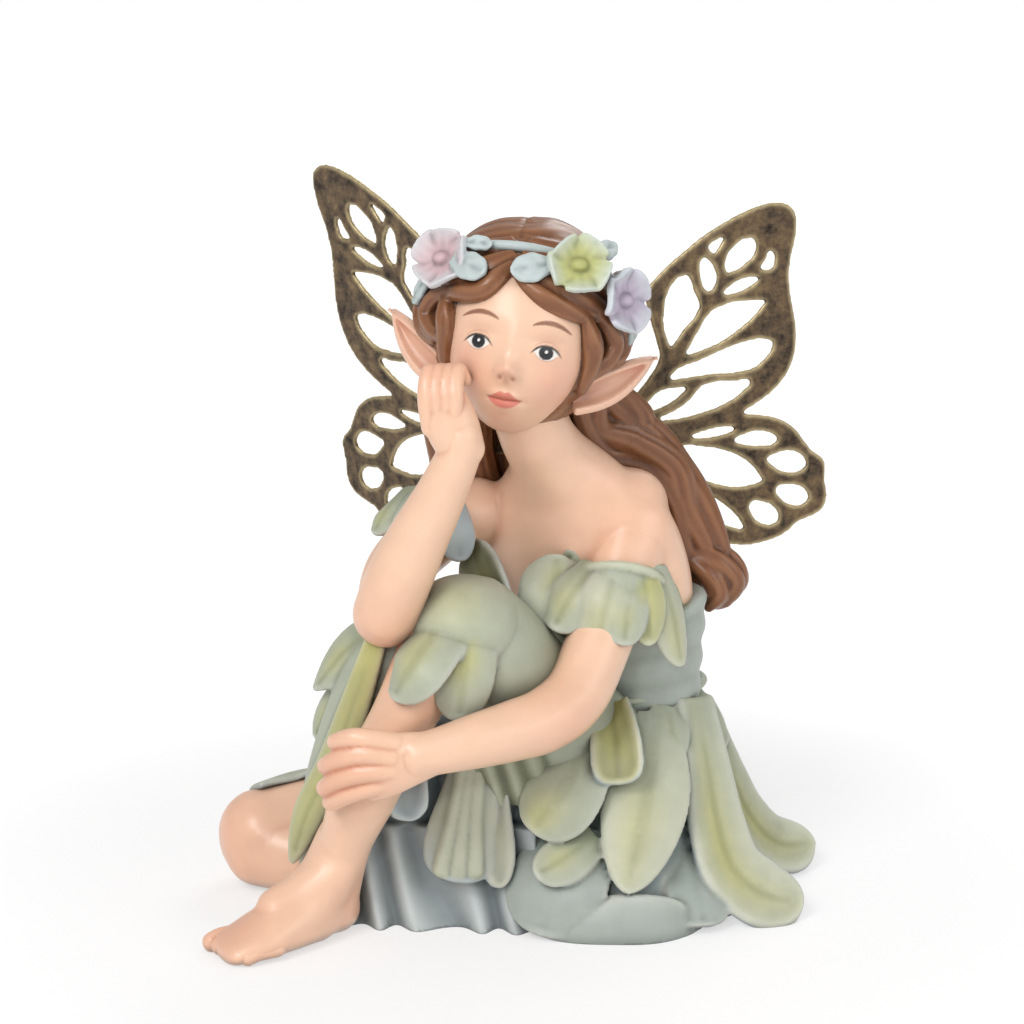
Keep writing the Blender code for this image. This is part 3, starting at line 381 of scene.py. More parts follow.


# %% [markdown]
# ## One cast surface from many forms
#
# In the mould everything has flowed together, with soft creases where forms meet. A voxel remesh does the
# same: it wraps all the forms of a piece in one skin. Remeshing loses what each point knew, so the paint
# and the relief are read back from the nearest points of the forms. Then the relief is pushed out along
# the normals, and hollows are found by comparing the skin with a smoothed copy of itself. That hollow
# value darkens the paint there as painted shade, and raised ridges are lightened a little as a painted
# highlight. On the wings the same values give the patina in the hollows and the rubbed edges.

# %% Joining, remeshing and painting a casting
def mesh_from(name, points, faces):
    mesh = bpy.data.meshes.new(name)
    mesh.from_pydata((np.asarray(points) * MM).tolist(), [], faces)
    built = bmesh.new()
    built.from_mesh(mesh)
    bmesh.ops.recalc_face_normals(built, faces=built.faces)
    built.to_mesh(mesh)
    built.free()
    return mesh


def read_points(mesh):
    values = np.empty(len(mesh.vertices) * 3)
    mesh.vertices.foreach_get("co", values)
    return values.reshape(-1, 3) / MM


def read_normals(mesh):
    values = np.empty(len(mesh.vertices) * 3)
    mesh.vertices.foreach_get("normal", values)
    return values.reshape(-1, 3)


def write_points(mesh, points):
    mesh.vertices.foreach_set("co", (points * MM).ravel())
    mesh.update()


def read_edges(mesh):
    values = np.empty(len(mesh.edges) * 2, int)
    mesh.edges.foreach_get("vertices", values)
    return values.reshape(-1, 2)


def smoothed(values, edges, rounds):
    """Values averaged with their neighbours, a number of rounds."""
    a, b = edges.T
    n = len(values)
    ones = np.maximum(np.bincount(a, minlength=n) + np.bincount(b, minlength=n), 1)[:, None]
    for _ in range(rounds):
        total = np.stack([np.bincount(a, v[b], n) + np.bincount(b, v[a], n) for v in values.T], 1)
        values = 0.5 * values + 0.5 * total / ones
    return values


def write_paint(mesh, colours):
    layer = mesh.color_attributes.new("paint", "FLOAT_COLOR", "POINT")
    layer.data.foreach_set("color", np.hstack([colours, np.ones((len(colours), 1))]).ravel())
    mesh.color_attributes.active_color = layer


def nearest_values(forms, points):
    """Paint and relief read from the forms' nearest points, weighted by closeness."""
    source = np.vstack([f.points for f in forms])
    values = np.hstack([np.vstack([f.paint for f in forms]), np.hstack([f.relief for f in forms])[:, None]])
    tree = kdtree.KDTree(len(source))
    for index, point in enumerate(source):
        tree.insert(point, index)
    tree.balance()
    result = np.empty((len(points), 4))
    for index, point in enumerate(points):
        found = tree.find_n(point, 3)
        weights = np.array([1 / (f[2] + 0.05) ** 2 for f in found])
        result[index] = weights @ values[[f[1] for f in found]] / weights.sum()
    return result


def cut_flat(mesh):
    """Take off what lies under the floor: the real casting's foot is ground flat."""
    built = bmesh.new()
    built.from_mesh(mesh)
    whole = built.verts[:] + built.edges[:] + built.faces[:]
    cut = bmesh.ops.bisect_plane(built, geom=whole, plane_co=(0, 0, 0), plane_no=(0, 0, 1), clear_inner=True)
    rim = [edge for edge in cut["geom_cut"] if isinstance(edge, bmesh.types.BMEdge)]
    bmesh.ops.holes_fill(built, edges=rim)
    built.to_mesh(mesh)
    built.free()


def modified(piece, kind, **settings):
    """The piece's new mesh after one modifier, which is then taken off."""
    modifier = piece.modifiers.new(kind.lower(), kind)
    for key, value in settings.items():
        setattr(modifier, key, value)
    graph = bpy.context.evaluated_depsgraph_get()
    mesh = bpy.data.meshes.new_from_object(piece.evaluated_get(graph))
    piece.modifiers.clear()
    piece.data = mesh
    return mesh


VALUE_ROUNDS = 3
HOLLOW_ROUNDS = 12
HOLLOW_CURVE = 0.8


def cast_piece(name, forms, voxel, wash, material, slot, soften=4, wash_depth=0.35, wear_and_highlight=0.12, keep=0.34):
    """A finished piece: forms wrapped in one skin, carved, painted, and placed on the frame."""
    faces, offset = [], 0
    for form in forms:
        faces += [tuple(i + offset for i in face) for face in form.faces]
        offset += len(form.points)
    piece = bpy.data.objects.new(name, mesh_from(name, np.vstack([f.points for f in forms]), faces))
    bpy.context.scene.collection.objects.link(piece)
    mesh = modified(piece, "REMESH", mode="VOXEL", voxel_size=voxel * MM)
    write_points(mesh, smoothed(read_points(mesh), read_edges(mesh), soften))
    cut_flat(mesh)
    edges = read_edges(mesh)
    points = read_points(mesh)
    values = smoothed(nearest_values(forms, points), edges, VALUE_ROUNDS)
    points = points + read_normals(mesh) * values[:, 3:]
    points[:, 2] = np.maximum(points[:, 2], 0)
    write_points(mesh, points)
    # painted shade in the hollows and a painted highlight on ridges; on the wings, patina and rubbed edges
    sunk = smoothed(points, edges, HOLLOW_ROUNDS) - points
    hollow = (sunk * read_normals(mesh)).sum(1, keepdims=True)
    dark = np.clip(hollow / wash_depth, 0, 1) ** HOLLOW_CURVE
    light = np.clip(-hollow / wash_depth, 0, 1)
    colours = values[:, :3] * (1 - dark) + values[:, :3] * linear(wash) * dark
    write_paint(mesh, np.clip(colours * (1 + wear_and_highlight * light), 0, 1))
    # The flattest spots collapse until a share of the triangles is left, and the paint is carried along
    if keep < 1:
        modified(piece, "DECIMATE", ratio=keep)
    finish_piece(piece, material)
    return piece


def finish_piece(piece, material):
    piece.data.materials.clear()
    piece.data.materials.append(material)
    piece.data.shade_smooth()
    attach(piece, "root")
    print(piece.name, sum(len(face.vertices) - 2 for face in piece.data.polygons), "triangles")


# %% [markdown]
# ## Painted finishes
#
# Acrylic and airbrush paint on resin dries satin: a soft highlight, no mirror. The brush leaves faint
# changes of tone a few millimetres across, and the casting has a fine unevenness under the paint. All
# the painted finishes share that, with their own roughness and strength.

# %% Satin acrylic paint
BRUSH_PATCH = 6.0
GRAIN_SIZE = 0.5
SHADE_REACH = 5.0
SHADE_TONE = 0.55
ACRYLIC_IOR = 1.48
COAT_ROUGHNESS = 0.3
NOISE_SPAN = {"i1": 0.3, "i2": 0.7}


def painted_finish(name, roughness, mottle, grain, coat=0.0, gloss=0.5):
    """Paint read from the surface, unevenly laid by the brush, over a slightly grainy casting."""
    material, tree, shader = new_material(name)
    place = add_node(tree, "ShaderNodeTexCoord").outputs["Object"]
    paint = add_node(tree, "ShaderNodeVertexColor", {"layer_name": "paint"})
    patches = add_node(tree, "ShaderNodeTexNoise", Vector=place, Scale=1 / (BRUSH_PATCH * MM),
                       Detail=4.0, Roughness=0.6)
    level = add_node(tree, "ShaderNodeMapRange", Value=patches.outputs["Fac"], **NOISE_SPAN,
                     i3=1 - mottle, i4=1 + mottle)
    # painted shade: the paint is darkened where the surroundings close in, in creases and under parts
    open_share = add_node(tree, "ShaderNodeAmbientOcclusion", {"samples": 6}, Distance=SHADE_REACH * MM)
    wash = add_node(tree, "ShaderNodeMapRange", Value=open_share.outputs["AO"], i1=0.25, i2=0.85,
                    i3=SHADE_TONE, i4=1.0)
    level = add_node(tree, "ShaderNodeMath", {"operation": "MULTIPLY"}, i0=level.outputs[0],
                     i1=wash.outputs[0])
    toned = add_node(tree, "ShaderNodeVectorMath", {"operation": "SCALE"},
                     i0=paint.outputs["Color"], Scale=level.outputs[0])
    tree.links.new(toned.outputs[0], shader.inputs["Base Color"])
    fine = add_node(tree, "ShaderNodeTexNoise", Vector=place, Scale=1 / (GRAIN_SIZE * MM), Detail=3.0)
    rough = add_node(tree, "ShaderNodeMapRange", Value=patches.outputs["Fac"], **NOISE_SPAN,
                     i3=roughness - 0.06, i4=roughness + 0.06)
    tree.links.new(rough.outputs[0], shader.inputs["Roughness"])
    bump = add_node(tree, "ShaderNodeBump", Height=fine.outputs["Fac"], Strength=grain, Distance=0.1 * MM)
    tree.links.new(bump.outputs[0], shader.inputs["Normal"])
    shader.inputs["IOR"].default_value = ACRYLIC_IOR
    shader.inputs["Specular IOR Level"].default_value = gloss
    shader.inputs["Coat Weight"].default_value = coat
    shader.inputs["Coat Roughness"].default_value = COAT_ROUGHNESS
    return material


SKIN_PAINT = painted_finish("satin_skin_acrylic", 0.36, 0.03, 0.12, 0.30)
HAIR_PAINT = painted_finish("satin_brown_acrylic", 0.31, 0.10, 0.15, 0.15, 0.42)
DRESS_PAINT = painted_finish("airbrushed_green_acrylic", 0.48, 0.06, 0.25, 0.1)
FLOWER_PAINT = painted_finish("pastel_acrylic", 0.55, 0.04, 0.3)
FACE_PAINT = painted_finish("satin_face_acrylic", 0.38, 0.02, 0.1, 0.25)

SKIN = linear("#efc6a9")
SKIN_BLUSH = linear("#e09a7d")
# colour of the painted shade in the skin's creases
SKIN_SHADE = "#cf9073"
EAR_BLUSH = linear("#e2ab94")
EAR_HOLLOW_SHADE = linear("#b87c62")


def tint(form, colour):
    form.paint[:] = colour
    return form


def blend(colours, other, amount):
    amount = np.clip(amount, 0, 1)[:, None]
    return colours * (1 - amount) + np.asarray(other) * amount


def glaze(form, colour, amount):
    """A second colour laid over a form's paint, 0 to 1 at each point."""
    form.paint = blend(form.paint, colour, amount)
    return form


def spot(points, centre, radius):
    """1 at a centre, falling smoothly to 0 over about a radius."""
    return np.exp(-((np.asarray(points) - centre) ** 2).sum(1) / radius**2)


print("finishes:", sorted(m.name for m in bpy.data.materials))


# %% [markdown]
# ## The head's own frame
#
# Face, ears, hair and garland all belong to the head, which is turned a little, nods back and leans on
# the fist. They are modelled upright in the head's own frame and turned together.

# %% Head frame
HEAD_CENTRE = (2.2, -15.0, 144.8)
HEAD_WIDTH = 37.5
HEAD_DEPTH = 44.0
HEAD_HEIGHT = 48.0
JAW_TAPER = 0.24
HEAD_TURN = -6.0
HEAD_NOD = 9.0
HEAD_ROLL = 9.5
HEAD_AXES = rotation(-HEAD_NOD, HEAD_ROLL, HEAD_TURN)


def on_head(point):
    return np.asarray(point, float) @ HEAD_AXES.T + HEAD_CENTRE


print("head:", HEAD_WIDTH, HEAD_DEPTH, HEAD_HEIGHT, "mm")


# %% [markdown]
# ## The face
#
# The face is a calm doll's face, sculpted low: sockets, a small nose, soft lips and a round chin. It is
# pushed out of an egg shape by soft round strokes, each with a centre, a spread and a push. Eyes, brows
# and lips are only paint, so the front of the egg has a mesh point every quarter of a millimetre.

# %% Skull and strokes
FACE_STROKES = [
    ((8.0, -18, -3.4), (4.5, 6, 3.3), (0, 1.7, 0)),
    ((8.0, -18, -3.9), (3.2, 5, 1.9), (0, -1.2, 0)),
    ((8.0, -18, -1.4), (3.5, 5, 0.45), (0, 0.30, 0)),
    ((8.4, -18, 2.6), (4.5, 6, 1.5), (0, -0.35, 0)),
    ((0, -20, -3.6), (1.9, 6, 3.8), (0, -1.0, 0)),
    ((0, -21, -8.8), (1.7, 6, 1.9), (0, -2.7, 0)),
    ((0, -21, -9.6), (1.2, 6, 1.1), (0, -0.9, 0.2)),
    ((2.0, -20, -9.8), (0.85, 4, 0.95), (0, -1.0, 0)),
    ((1.35, -21, -11.0), (0.5, 4, 0.42), (0, 0.8, 0)),
    ((10.5, -14, -12.0), (5.2, 6, 5.2), (0.6, -1.2, 0)),
    ((0, -20, -12.9), (0.6, 5, 1.2), (0, 0.25, 0)),
    ((1.5, -20, -15.1), (1.7, 5, 0.75), (0, -0.8, 0)),
    ((0, -20, -17.3), (2.2, 5, 0.95), (0, -1.05, 0)),
    ((0, -20, -16.1), (3.3, 5, 0.3), (0, 0.55, 0)),
    ((4.2, -19, -15.9), (0.7, 4, 0.7), (0, 0.45, 0)),
    ((0, -18, -19.5), (3.0, 5, 1.0), (0, 0.8, 0)),
    ((0, -17, -22.5), (3.8, 5, 2.7), (0, -1.8, -0.8)),
]


def skull(directions):
    """Points of the head in its own frame from unit directions."""
    lower = np.clip(-directions[:, 2], 0, 1)
    p = directions * (HEAD_WIDTH / 2, HEAD_DEPTH / 2, HEAD_HEIGHT / 2)
    p[:, 0] *= 1 - JAW_TAPER * lower**1.9
    p[:, 1] *= 1 - 0.10 * lower**2
    p[:, 1] -= 2.0 * lower * (p[:, 1] > 0)
    for centre, spread, push in FACE_STROKES:
        for mirror in ((1, -1) if centre[0] else (1,)):
            flip = (mirror, 1, 1)
            falloff = np.exp(-0.5 * (((p - np.multiply(centre, flip)) / spread) ** 2).sum(1))
            p = p + falloff[:, None] * np.multiply(push, flip)
    return p


# %% Painting the face
LIP_RED = linear("#cf6f5e")
LIP_LIGHT = linear("#e88c7e")
LIP_LINE = linear("#a44c40")
EYE_WHITE = linear("#efe9e3")
IRIS = linear("#202126")
PUPIL = linear("#0b0a0b")
LASH = linear("#241c19")
BROW = linear("#87543a")
CHEEK = linear("#e9a48c")
SHADE = linear("#c98f74")
NOSTRIL_SHADE = linear("#a8694f")


def soft_step(value, width):
    """0 below zero, 1 above, with a soft edge of a width."""
    return np.clip(value / width + 0.5, 0, 1)


def paint_face(p):
    """Colour of each point of the face, from its place seen straight on."""
    x, z = np.abs(p[:, 0]), p[:, 2]
    front = p[:, 1] < 0
    colours = np.tile(SKIN, (len(p), 1))
    flat = np.stack([x, z], 1)

    def lay(colour, amount):
        nonlocal colours
        colours = blend(colours, colour, amount * front)

    # airbrushed warmth on cheeks, nose and chin; painted shade on the lids, under the nose and the lower lip
    lay(CHEEK, 0.55 * spot(flat, (11.5, -10.5), 6.5))
    lay(CHEEK, 0.35 * spot(flat, (0, -9.5), 2.4))
    lay(CHEEK, 0.30 * spot(flat, (0, -22), 4.0))
    lay(SHADE, 0.30 * spot(flat * (1, 2.2), (8.0, -0.4 * 2.2), 3.2))
    lay(SHADE, 0.35 * spot(flat * (0.7, 1.5), (0, -19.7 * 1.5), 1.5))
    lay(SHADE, 0.35 * spot(flat, (0, -11.9), 1.1))
    # lips: a bow above and a fuller curve below, parted by a line
    across = x / 3.9
    top = -14.55 + 0.50 * np.exp(-(((x - 1.1) / 0.9) ** 2)) - 1.25 * across**1.6
    line = -15.95 + 0.25 * across**2 - 0.20 * np.exp(-((x / 0.8) ** 2))
    bottom = -18.0 + 2.05 * across**2.2
    lips = soft_step(top - z, 0.25) * soft_step(z - bottom, 0.3) * soft_step(3.85 - x, 0.5)
    lay(LIP_RED, 0.85 * lips)
    lay(LIP_LIGHT, 0.8 * lips * soft_step(line - 0.2 - z, 0.5))
    lay(LIP_LINE, 0.85 * np.exp(-(((z - line) / 0.18) ** 2)) * soft_step(4.1 - x, 0.5))
    # nostrils: painted shade
    lay(NOSTRIL_SHADE, 0.75 * spot(flat, (1.5, -11.0), 0.50))
    # eyes: white, iris, pupil, glint, then the lash line over them
    u = (x - 8.0) / 2.8
    w = np.clip(1 - u * u, 0, 1)
    arch = -4.0 + 1.85 * (1 - (np.abs(u) / 1.18) ** 2.2)
    upper = arch - 0.1
    lower = -3.6 - 1.9 * w**0.75
    opening = soft_step(upper - z, 0.16) * soft_step(z - lower, 0.16) * (np.abs(u) < 1)
    lay(EYE_WHITE, opening)
    iris = np.hypot(x - 7.95, z + 3.7)
    lay(IRIS, opening * soft_step(1.56 - iris, 0.16))
    lay(PUPIL, opening * soft_step(iris - 1.30, 0.20) * soft_step(1.62 - iris, 0.16))
    lay(PUPIL, opening * soft_step(0.90 - iris, 0.16))
    glint = np.hypot(p[:, 0] - np.sign(p[:, 0]) * 7.95 - 0.05, z + 3.45)
    lay((1, 1, 1), opening * soft_step(0.32 - glint, 0.16))
    thick = 0.24 - 0.55 * np.clip(np.abs(u) - 0.9, 0, 1)
    lay(LASH, 0.95 * soft_step(thick - np.abs(z - arch) * (1 - 0.35 * np.abs(u)), 0.12) * (np.abs(u) < 1.3))
    # painted shade under the lower lid and along the lid crease
    under = np.abs(z - (lower - 0.08))
    lay(SHADE, 0.6 * soft_step(0.14 - under, 0.16) * (np.abs(u) < 0.9))
    crease = arch + 0.95
    lay(SHADE, 0.45 * soft_step(0.20 - np.abs(z - crease), 0.3) * (np.abs(u) < 1.05))
    # brows: one stroke each, thin at the ends
    b = (x - 8.4) / 4.5
    brow_line = 1.7 + 1.45 * (1 - b**2) - 0.30 * b
    brow_half = 0.56 * np.clip(1 - b**2, 0, 1) ** 0.5
    lay(BROW, 0.9 * soft_step(brow_half - np.abs(z - brow_line), 0.2) * (np.abs(b) < 1))
    return colours


# %% [markdown]
# A round head needs one mesh that is fine in front and coarse behind. Rings run about the axis through
# the ears. Their spacing is tight over the face and loose at the back, where hair covers the skull.

# %% Head mesh
def add_head(rings=212, columns=212):
    sideways = np.linspace(-1, 1, rings + 2)[1:-1]
    sideways = np.radians(90 * (0.72 * sideways + 0.28 * sideways**5))
    spans = ((-85, 25, 0.78), (25, 110, 0.12), (110, 275, 0.10))
    turn = np.concatenate([np.linspace(a, b, int(columns * share), endpoint=False) for a, b, share in spans])
    turn = np.radians(turn)
    loops = []
    for a in sideways:
        loops.append(np.stack([np.full(len(turn), math.sin(a)), -math.cos(a) * np.cos(turn),
                               math.cos(a) * np.sin(turn)], 1))
    form = skin_rings(loops, sideways, turn)
    local = skull(unit(form.points))
    mesh = mesh_from("head", on_head(local), form.faces)
    write_paint(mesh, paint_face(local))
    head = bpy.data.objects.new("head", mesh)
    bpy.context.scene.collection.objects.link(head)
    finish_piece(head, FACE_PAINT)


add_head()

# %% [markdown]
# ## Ears
#
# Long elf ears: a leaf of skin with a rolled rim and a deep bowl. The same petal builder makes them, with
# a stronger lip, no vein, and a curl towards the viewer.

# %% Ears
EAR_LENGTH = 21.5
EAR_HALF_WIDTH = 4.8
EAR_INSET = 2.0


def ears():
    forms = []
    for side in (1, -1):
        root = np.array((side * (HEAD_WIDTH / 2 - EAR_INSET), -3.0, -12.0))
        reach = unit((side * 0.72, 0.40, 0.56)) * EAR_LENGTH
        spine = [on_head(p) for p in (root - reach * 0.15, root + reach * 0.4 + (0, 0, -1.2), root + reach)]
        ear = petal(spine, EAR_HALF_WIDTH, HEAD_AXES @ (side * 0.45, -0.85, 0.05), curl=-0.7, base=0.8,
                    widest=0.35, point=0.95, thickness=2.2, lip=0.9, vein=0)
        inner = np.exp(-((ear.across / 0.5) ** 2)) * np.clip(1.2 - ear.along, 0, 1)
        glaze(tint(ear, SKIN), EAR_BLUSH, 0.25 + 0.2 * ear.along)
        # painted shade deep in the ear's bowl
        glaze(ear, EAR_HOLLOW_SHADE, 0.9 * inner * np.clip(1 - 1.8 * ear.along, 0, 1))
        ear.relief = -0.6 * inner
        forms.append(ear)
    return forms


def skin_piece(name, forms, voxel, **settings):
    cast_piece(name, forms, voxel, SKIN_SHADE, SKIN_PAINT, "skin_paint", **settings)


skin_piece("ears", ears(), 0.35, keep=0.6)

# %% [markdown]
# ## Body and limbs
#
# Bare skin shows at the neck, shoulders, arms, the raised shin with its foot, and the folded leg. Each
# stretch is a handful of tubes and balls wrapped in one skin. Knees, elbows, fingers and toes get the
# painter's warm blush.

# %% Skin helpers
BLUSH_PLACES = [
    ((-70, -1, 13), 9), ((-29, -31, 78), 8), ((10, -35, 55), 7), ((-66, -46, 6), 8), ((-37, -50, 48), 7),
    ((-46, -46, 45), 5), ((-18, -38, 137), 6), ((26, -6, 96), 8), ((-41, -30, 10), 6), ((-20, -32, 66), 7),
]


def skin(forms):
    """Skin colour with blush where joints and fingers are."""
    for form in forms:
        amount = sum(spot(form.points, centre, radius * 1.4) for centre, radius in BLUSH_PLACES)
        glaze(tint(form, SKIN), SKIN_BLUSH, 0.45 * np.clip(amount, 0, 1))
    return forms


# %% Neck, chest and shoulders
def upper_body():
    return skin([
        tube([(27, 9, 61, 20, 14), (22.5, 6, 76, 24.5, 15.5), (17, 3.5, 88, 26.5, 14.5),
              (14, 1.5, 98, 25, 12), (12, -1, 106, 17.5, 10.5), (9, -5, 113, 10.5, 9.6),
              (6, -9, 119, 9.2, 9), (3.5, -12, 127, 9.2, 9)],
             facing=(-0.42, -0.9, 0), sides=56, steps=70),
        tube([(28.8, -1, 100.5, 10, 10), (28.8, -6.5, 91, 9.6, 9.2), (25, -14.5, 80, 8.2, 8.2)], steps=30),
        tube([(-9, 6, 97, 9, 9), (-19, -2, 94, 8.6, 8.2), (-28, -17, 87, 7.6, 7.6)], steps=24),
    ])


skin_piece("neck_and_shoulders", upper_body(), 0.55, soften=30, keep=0.18)


# %% Arms and hands
CLASPING_FINGERS = [
    [(-27, -50, 53.5), (-32.5, -51, 55), (-37, -50.8, 55.3), (-40.5, -48.3, 53.7), (-41.5, -45, 52.5)],
    [(-28, -51, 51), (-34.5, -51.8, 51.8), (-40, -50.2, 50), (-43.3, -46.5, 47.3), (-43.5, -43, 46.3)],
    [(-28, -51, 48), (-35, -51.6, 47.2), (-40, -50, 45.2), (-43.6, -46.5, 41.9), (-43.8, -43, 41)],
    [(-28, -50, 45), (-34, -50.4, 43.2), (-39, -49, 40.9), (-42.3, -46, 38.2), (-42.5, -42.5, 37.8)],
]
CLASPING_RADII = (2.9, 2.6, 2.45, 2.25, 1.9)
# Knuckle place across the fist, and how far each finger leans
FIST_FINGERS = ((-19.6, -0.7), (-17.4, -0.3), (-15.2, 0.2), (-13.2, 0.8))
FIST_RADII = (2.0, 2.1, 2.1, 2.0, 1.8)


def finger(points, radii):
    return tube([(*p, r, r) for p, r in zip(points, radii)], sides=16, steps=30)


def left_arm():
    """The arm that clasps the shin."""
    forms = [
        tube([(28.8, -6.5, 91, 9.6, 9.2), (25, -14.5, 80, 8.2, 8.2), (20, -22.5, 68, 8.0, 8.0),
              (15, -30, 59.5, 7.9, 7.9), (8, -36.5, 55.5, 7.7, 7.7), (0, -41, 54, 7.2, 7.2),
              (-9, -45.5, 52.8, 6.4, 6.4), (-17, -48.2, 51.4, 5.5, 5.2), (-22.5, -49.5, 50.5, 5.2, 4.8)],
             sides=36, steps=100),
        tube([(-18, -48, 51, 5.2, 4.8), (-24, -49.5, 49.8, 6.6, 4.0), (-30, -50, 48.3, 7.8, 3.4),
              (-34, -49.6, 47.3, 8.0, 2.8)], facing=(0, -1, 0), steps=40),
    ]
    return skin(forms + [finger(path, CLASPING_RADII) for path in CLASPING_FINGERS])


def right_arm():
    """The arm whose fist props the cheek."""
    forms = [
        tube([(-19, -2, 94, 8.6, 8.2), (-28, -17, 87, 7.6, 7.6), (-29.8, -31, 80, 7.4, 7.4)], steps=40),
        ball((-29.8, -31.5, 80), (8.0, 7.8, 8.0)),
        tube([(-29.8, -31.5, 80, 8.1, 8.1), (-26.6, -33.5, 89, 7.9, 7.9), (-22, -35, 99, 7.2, 7.2),
              (-16.5, -36.8, 110, 6.0, 6.2), (-12.2, -38, 120, 5.1, 5.6), (-12, -38, 124, 5.2, 5.4)],
             sides=36, steps=80),
        tube([(-11.5, -38, 120.5, 5.5, 5), (-13.6, -38.4, 126, 6.3, 4.6), (-15.5, -38.4, 131, 6.0, 4.2),
              (-16.8, -38, 135.5, 4.8, 3.6)], facing=(0.2, -0.95, 0.2), steps=40),
    ]
    for x, lean in FIST_FINGERS:
        forms.append(finger([(x - lean, -39.8, 126), (x, -40.9, 132.5), (x + 0.2, -39.6, 137),
                             (x + 0.9, -36.4, 138.9), (x + 2.2, -33, 136.4)], FIST_RADII))
    return skin(forms)


skin_piece("left_arm", left_arm(), 0.36, soften=5, wash_depth=0.22)
skin_piece("right_arm", right_arm(), 0.36, soften=5, wash_depth=0.22)


# %% Legs and feet
def raised_leg():
    forms = [
        tube([(-12, -25, 77, 10.5, 10.5), (-15, -27, 75, 10.5, 10.5), (-21, -32, 65, 8.6, 9.5),
              (-26.5, -34, 54, 7.8, 8.8), (-35, -34, 37, 8.0, 8.6), (-40, -31.5, 24, 6.6, 7.2),
              (-42.8, -30, 13, 6.4, 7.0), (-44, -30, 6, 6.6, 7.6)], sides=44, steps=100),
        tube([(-42.5, -28.5, 5.2, 5.8, 6.2), (-47, -33.5, 7.8, 7.4, 9.0), (-54, -40, 6.0, 8.2, 6.8),
              (-61, -44.5, 4.0, 9.0, 4.9), (-67.5, -47.4, 2.2, 8.6, 3.1)],
             facing=(0, 0, 1), sides=44, steps=70),
        tube([(-40.5, -30, 24, 6.6, 7.2), (-44.5, -32, 15, 7.0, 8.2), (-49.5, -36, 9.8, 7.6, 7.4),
              (-55.5, -41, 7.2, 7.6, 5.6)],
             facing=(0.6, -0.6, 0.6), sides=36, steps=40),
    ]
    return skin(forms)


def toes():
    forms = []
    for i in range(5):
        t = i / 4
        x, y = -72.0 + 9.6 * t, -43.0 - 9.5 * t
        r = 2.5 - 0.40 * t
        forms.append(finger([(x + 7, y + 3.5, 2.9), (x + 2.5, y + 1.0, 2.8), (x + 0.2, y - 0.3, 2.1)],
                            (r, r, r * 0.98)))
    return skin(forms)


def folded_leg():
    return skin([
        tube([(12, 18, 16, 15, 15), (-20, 16, 15, 13.5, 14), (-48, 8, 14, 12.8, 13),
              (-64.5, 2.5, 12.8, 12, 12)], sides=48, steps=70),
        tube([(-64, 1, 10.5, 10.5, 10.5), (-46, -6, 8.5, 9, 8.5), (-24, -8, 8, 8, 8)], steps=40),
    ])


skin_piece("raised_leg", raised_leg(), 0.45, soften=24, wash_depth=0.4, keep=0.25)
skin_piece("toes", toes(), 0.30, wash_depth=0.25, keep=0.6)
skin_piece("folded_leg", folded_leg(), 0.70, soften=8, keep=0.2)

# %% [markdown]
# ## Hair
#
# Carved hair is a cap with thick locks laid over it, and fine grooves that run along every lock. Each lock
# is a tapering tube. Its grooves are a relief: a wave across the lock, so they follow its bends by
# themselves. The same wave paints a lighter brown over the ridges: a painted highlight.

# %% Locks
HAIR_BROWN = linear("#76482d")
HAIR_HIGHLIGHT = linear("#a47450")
# colour of the painted shade in the hair's grooves and hollows
HAIR_SHADE = "#4d2e1d"
STRAND_WIDTH = 2.7
STRAND_DEPTH = 0.26


def strands(form, girth):
    """Grooves along a form, a strand width apart round its girth, with a painted highlight on the ridges."""
    count = max(round(girth / STRAND_WIDTH), 3)
    bend = 1.6 * np.sin(form.along * 6 + form.across) + 1.1 * np.sin(2 * form.across + 1)
    wave = np.sin(form.across * count + bend)
    fine = np.sin(form.across * count * 2.3 + bend + 1.7)
    swell = 0.6 + 0.4 * np.sin(form.along * 9 + 2 * form.across)
    form.relief = STRAND_DEPTH * (0.85 * wave + 0.15 * fine) * swell
    return glaze(tint(form, HAIR_BROWN), HAIR_HIGHLIGHT, 0.30 + 0.24 * wave + 0.10 * fine)


def lock(path, half_width=5.5, half_thickness=3.2, facing=(0, 1, 0), root=0.55, tip=0.5, steps=70):
    """One lock of hair, full in the middle and drawn out at its ends."""
    t = np.linspace(0, 1, len(path))
    swell = np.interp(t, (0, 0.35, 0.7, 1), (root, 1, 0.95, tip))
    rows = [(*p, half_width * k, half_thickness * k) for p, k in zip(path, swell)]
    form = tube(rows, facing=facing, sides=40, steps=steps)
    return strands(form, math.pi * (half_width + half_thickness))


def from_head(points):
    """Directions away from the middle of the head, for locks that lie on it."""
    return points - on_head(HAIR_SHIFT)


# %% Hair on the head
HAIR_SHIFT = (0, 5.0, 2.2)
HAIR_CAP = (HEAD_WIDTH / 2 + 4.3, HEAD_DEPTH / 2 + 1.6, HEAD_HEIGHT / 2 + 1.2)
PARTING = -0.15


def cap_point(turn, height, lift=0.0):
    """A point over the hair cap: turn in degrees from the front, height in the head's own frame."""
    across, deep, tall = HAIR_CAP
    level = math.sqrt(max(1 - ((height - HAIR_SHIFT[2]) / tall) ** 2, 0))
    a = math.radians(turn)
    return on_head(((across * level + lift) * math.sin(a),
                    HAIR_SHIFT[1] - (deep * level + lift) * math.cos(a), height))


def crown_point(x, back, lift=0.0):
    """A point on the cap: x across in half widths, and an angle back over the top from the front."""
    ring = math.sqrt(max(1 - x * x, 0))
    a = math.radians(back)
    radii = np.add(HAIR_CAP, lift)
    return on_head(radii * (x, -ring * math.cos(a), ring * math.sin(a)) + HAIR_SHIFT)


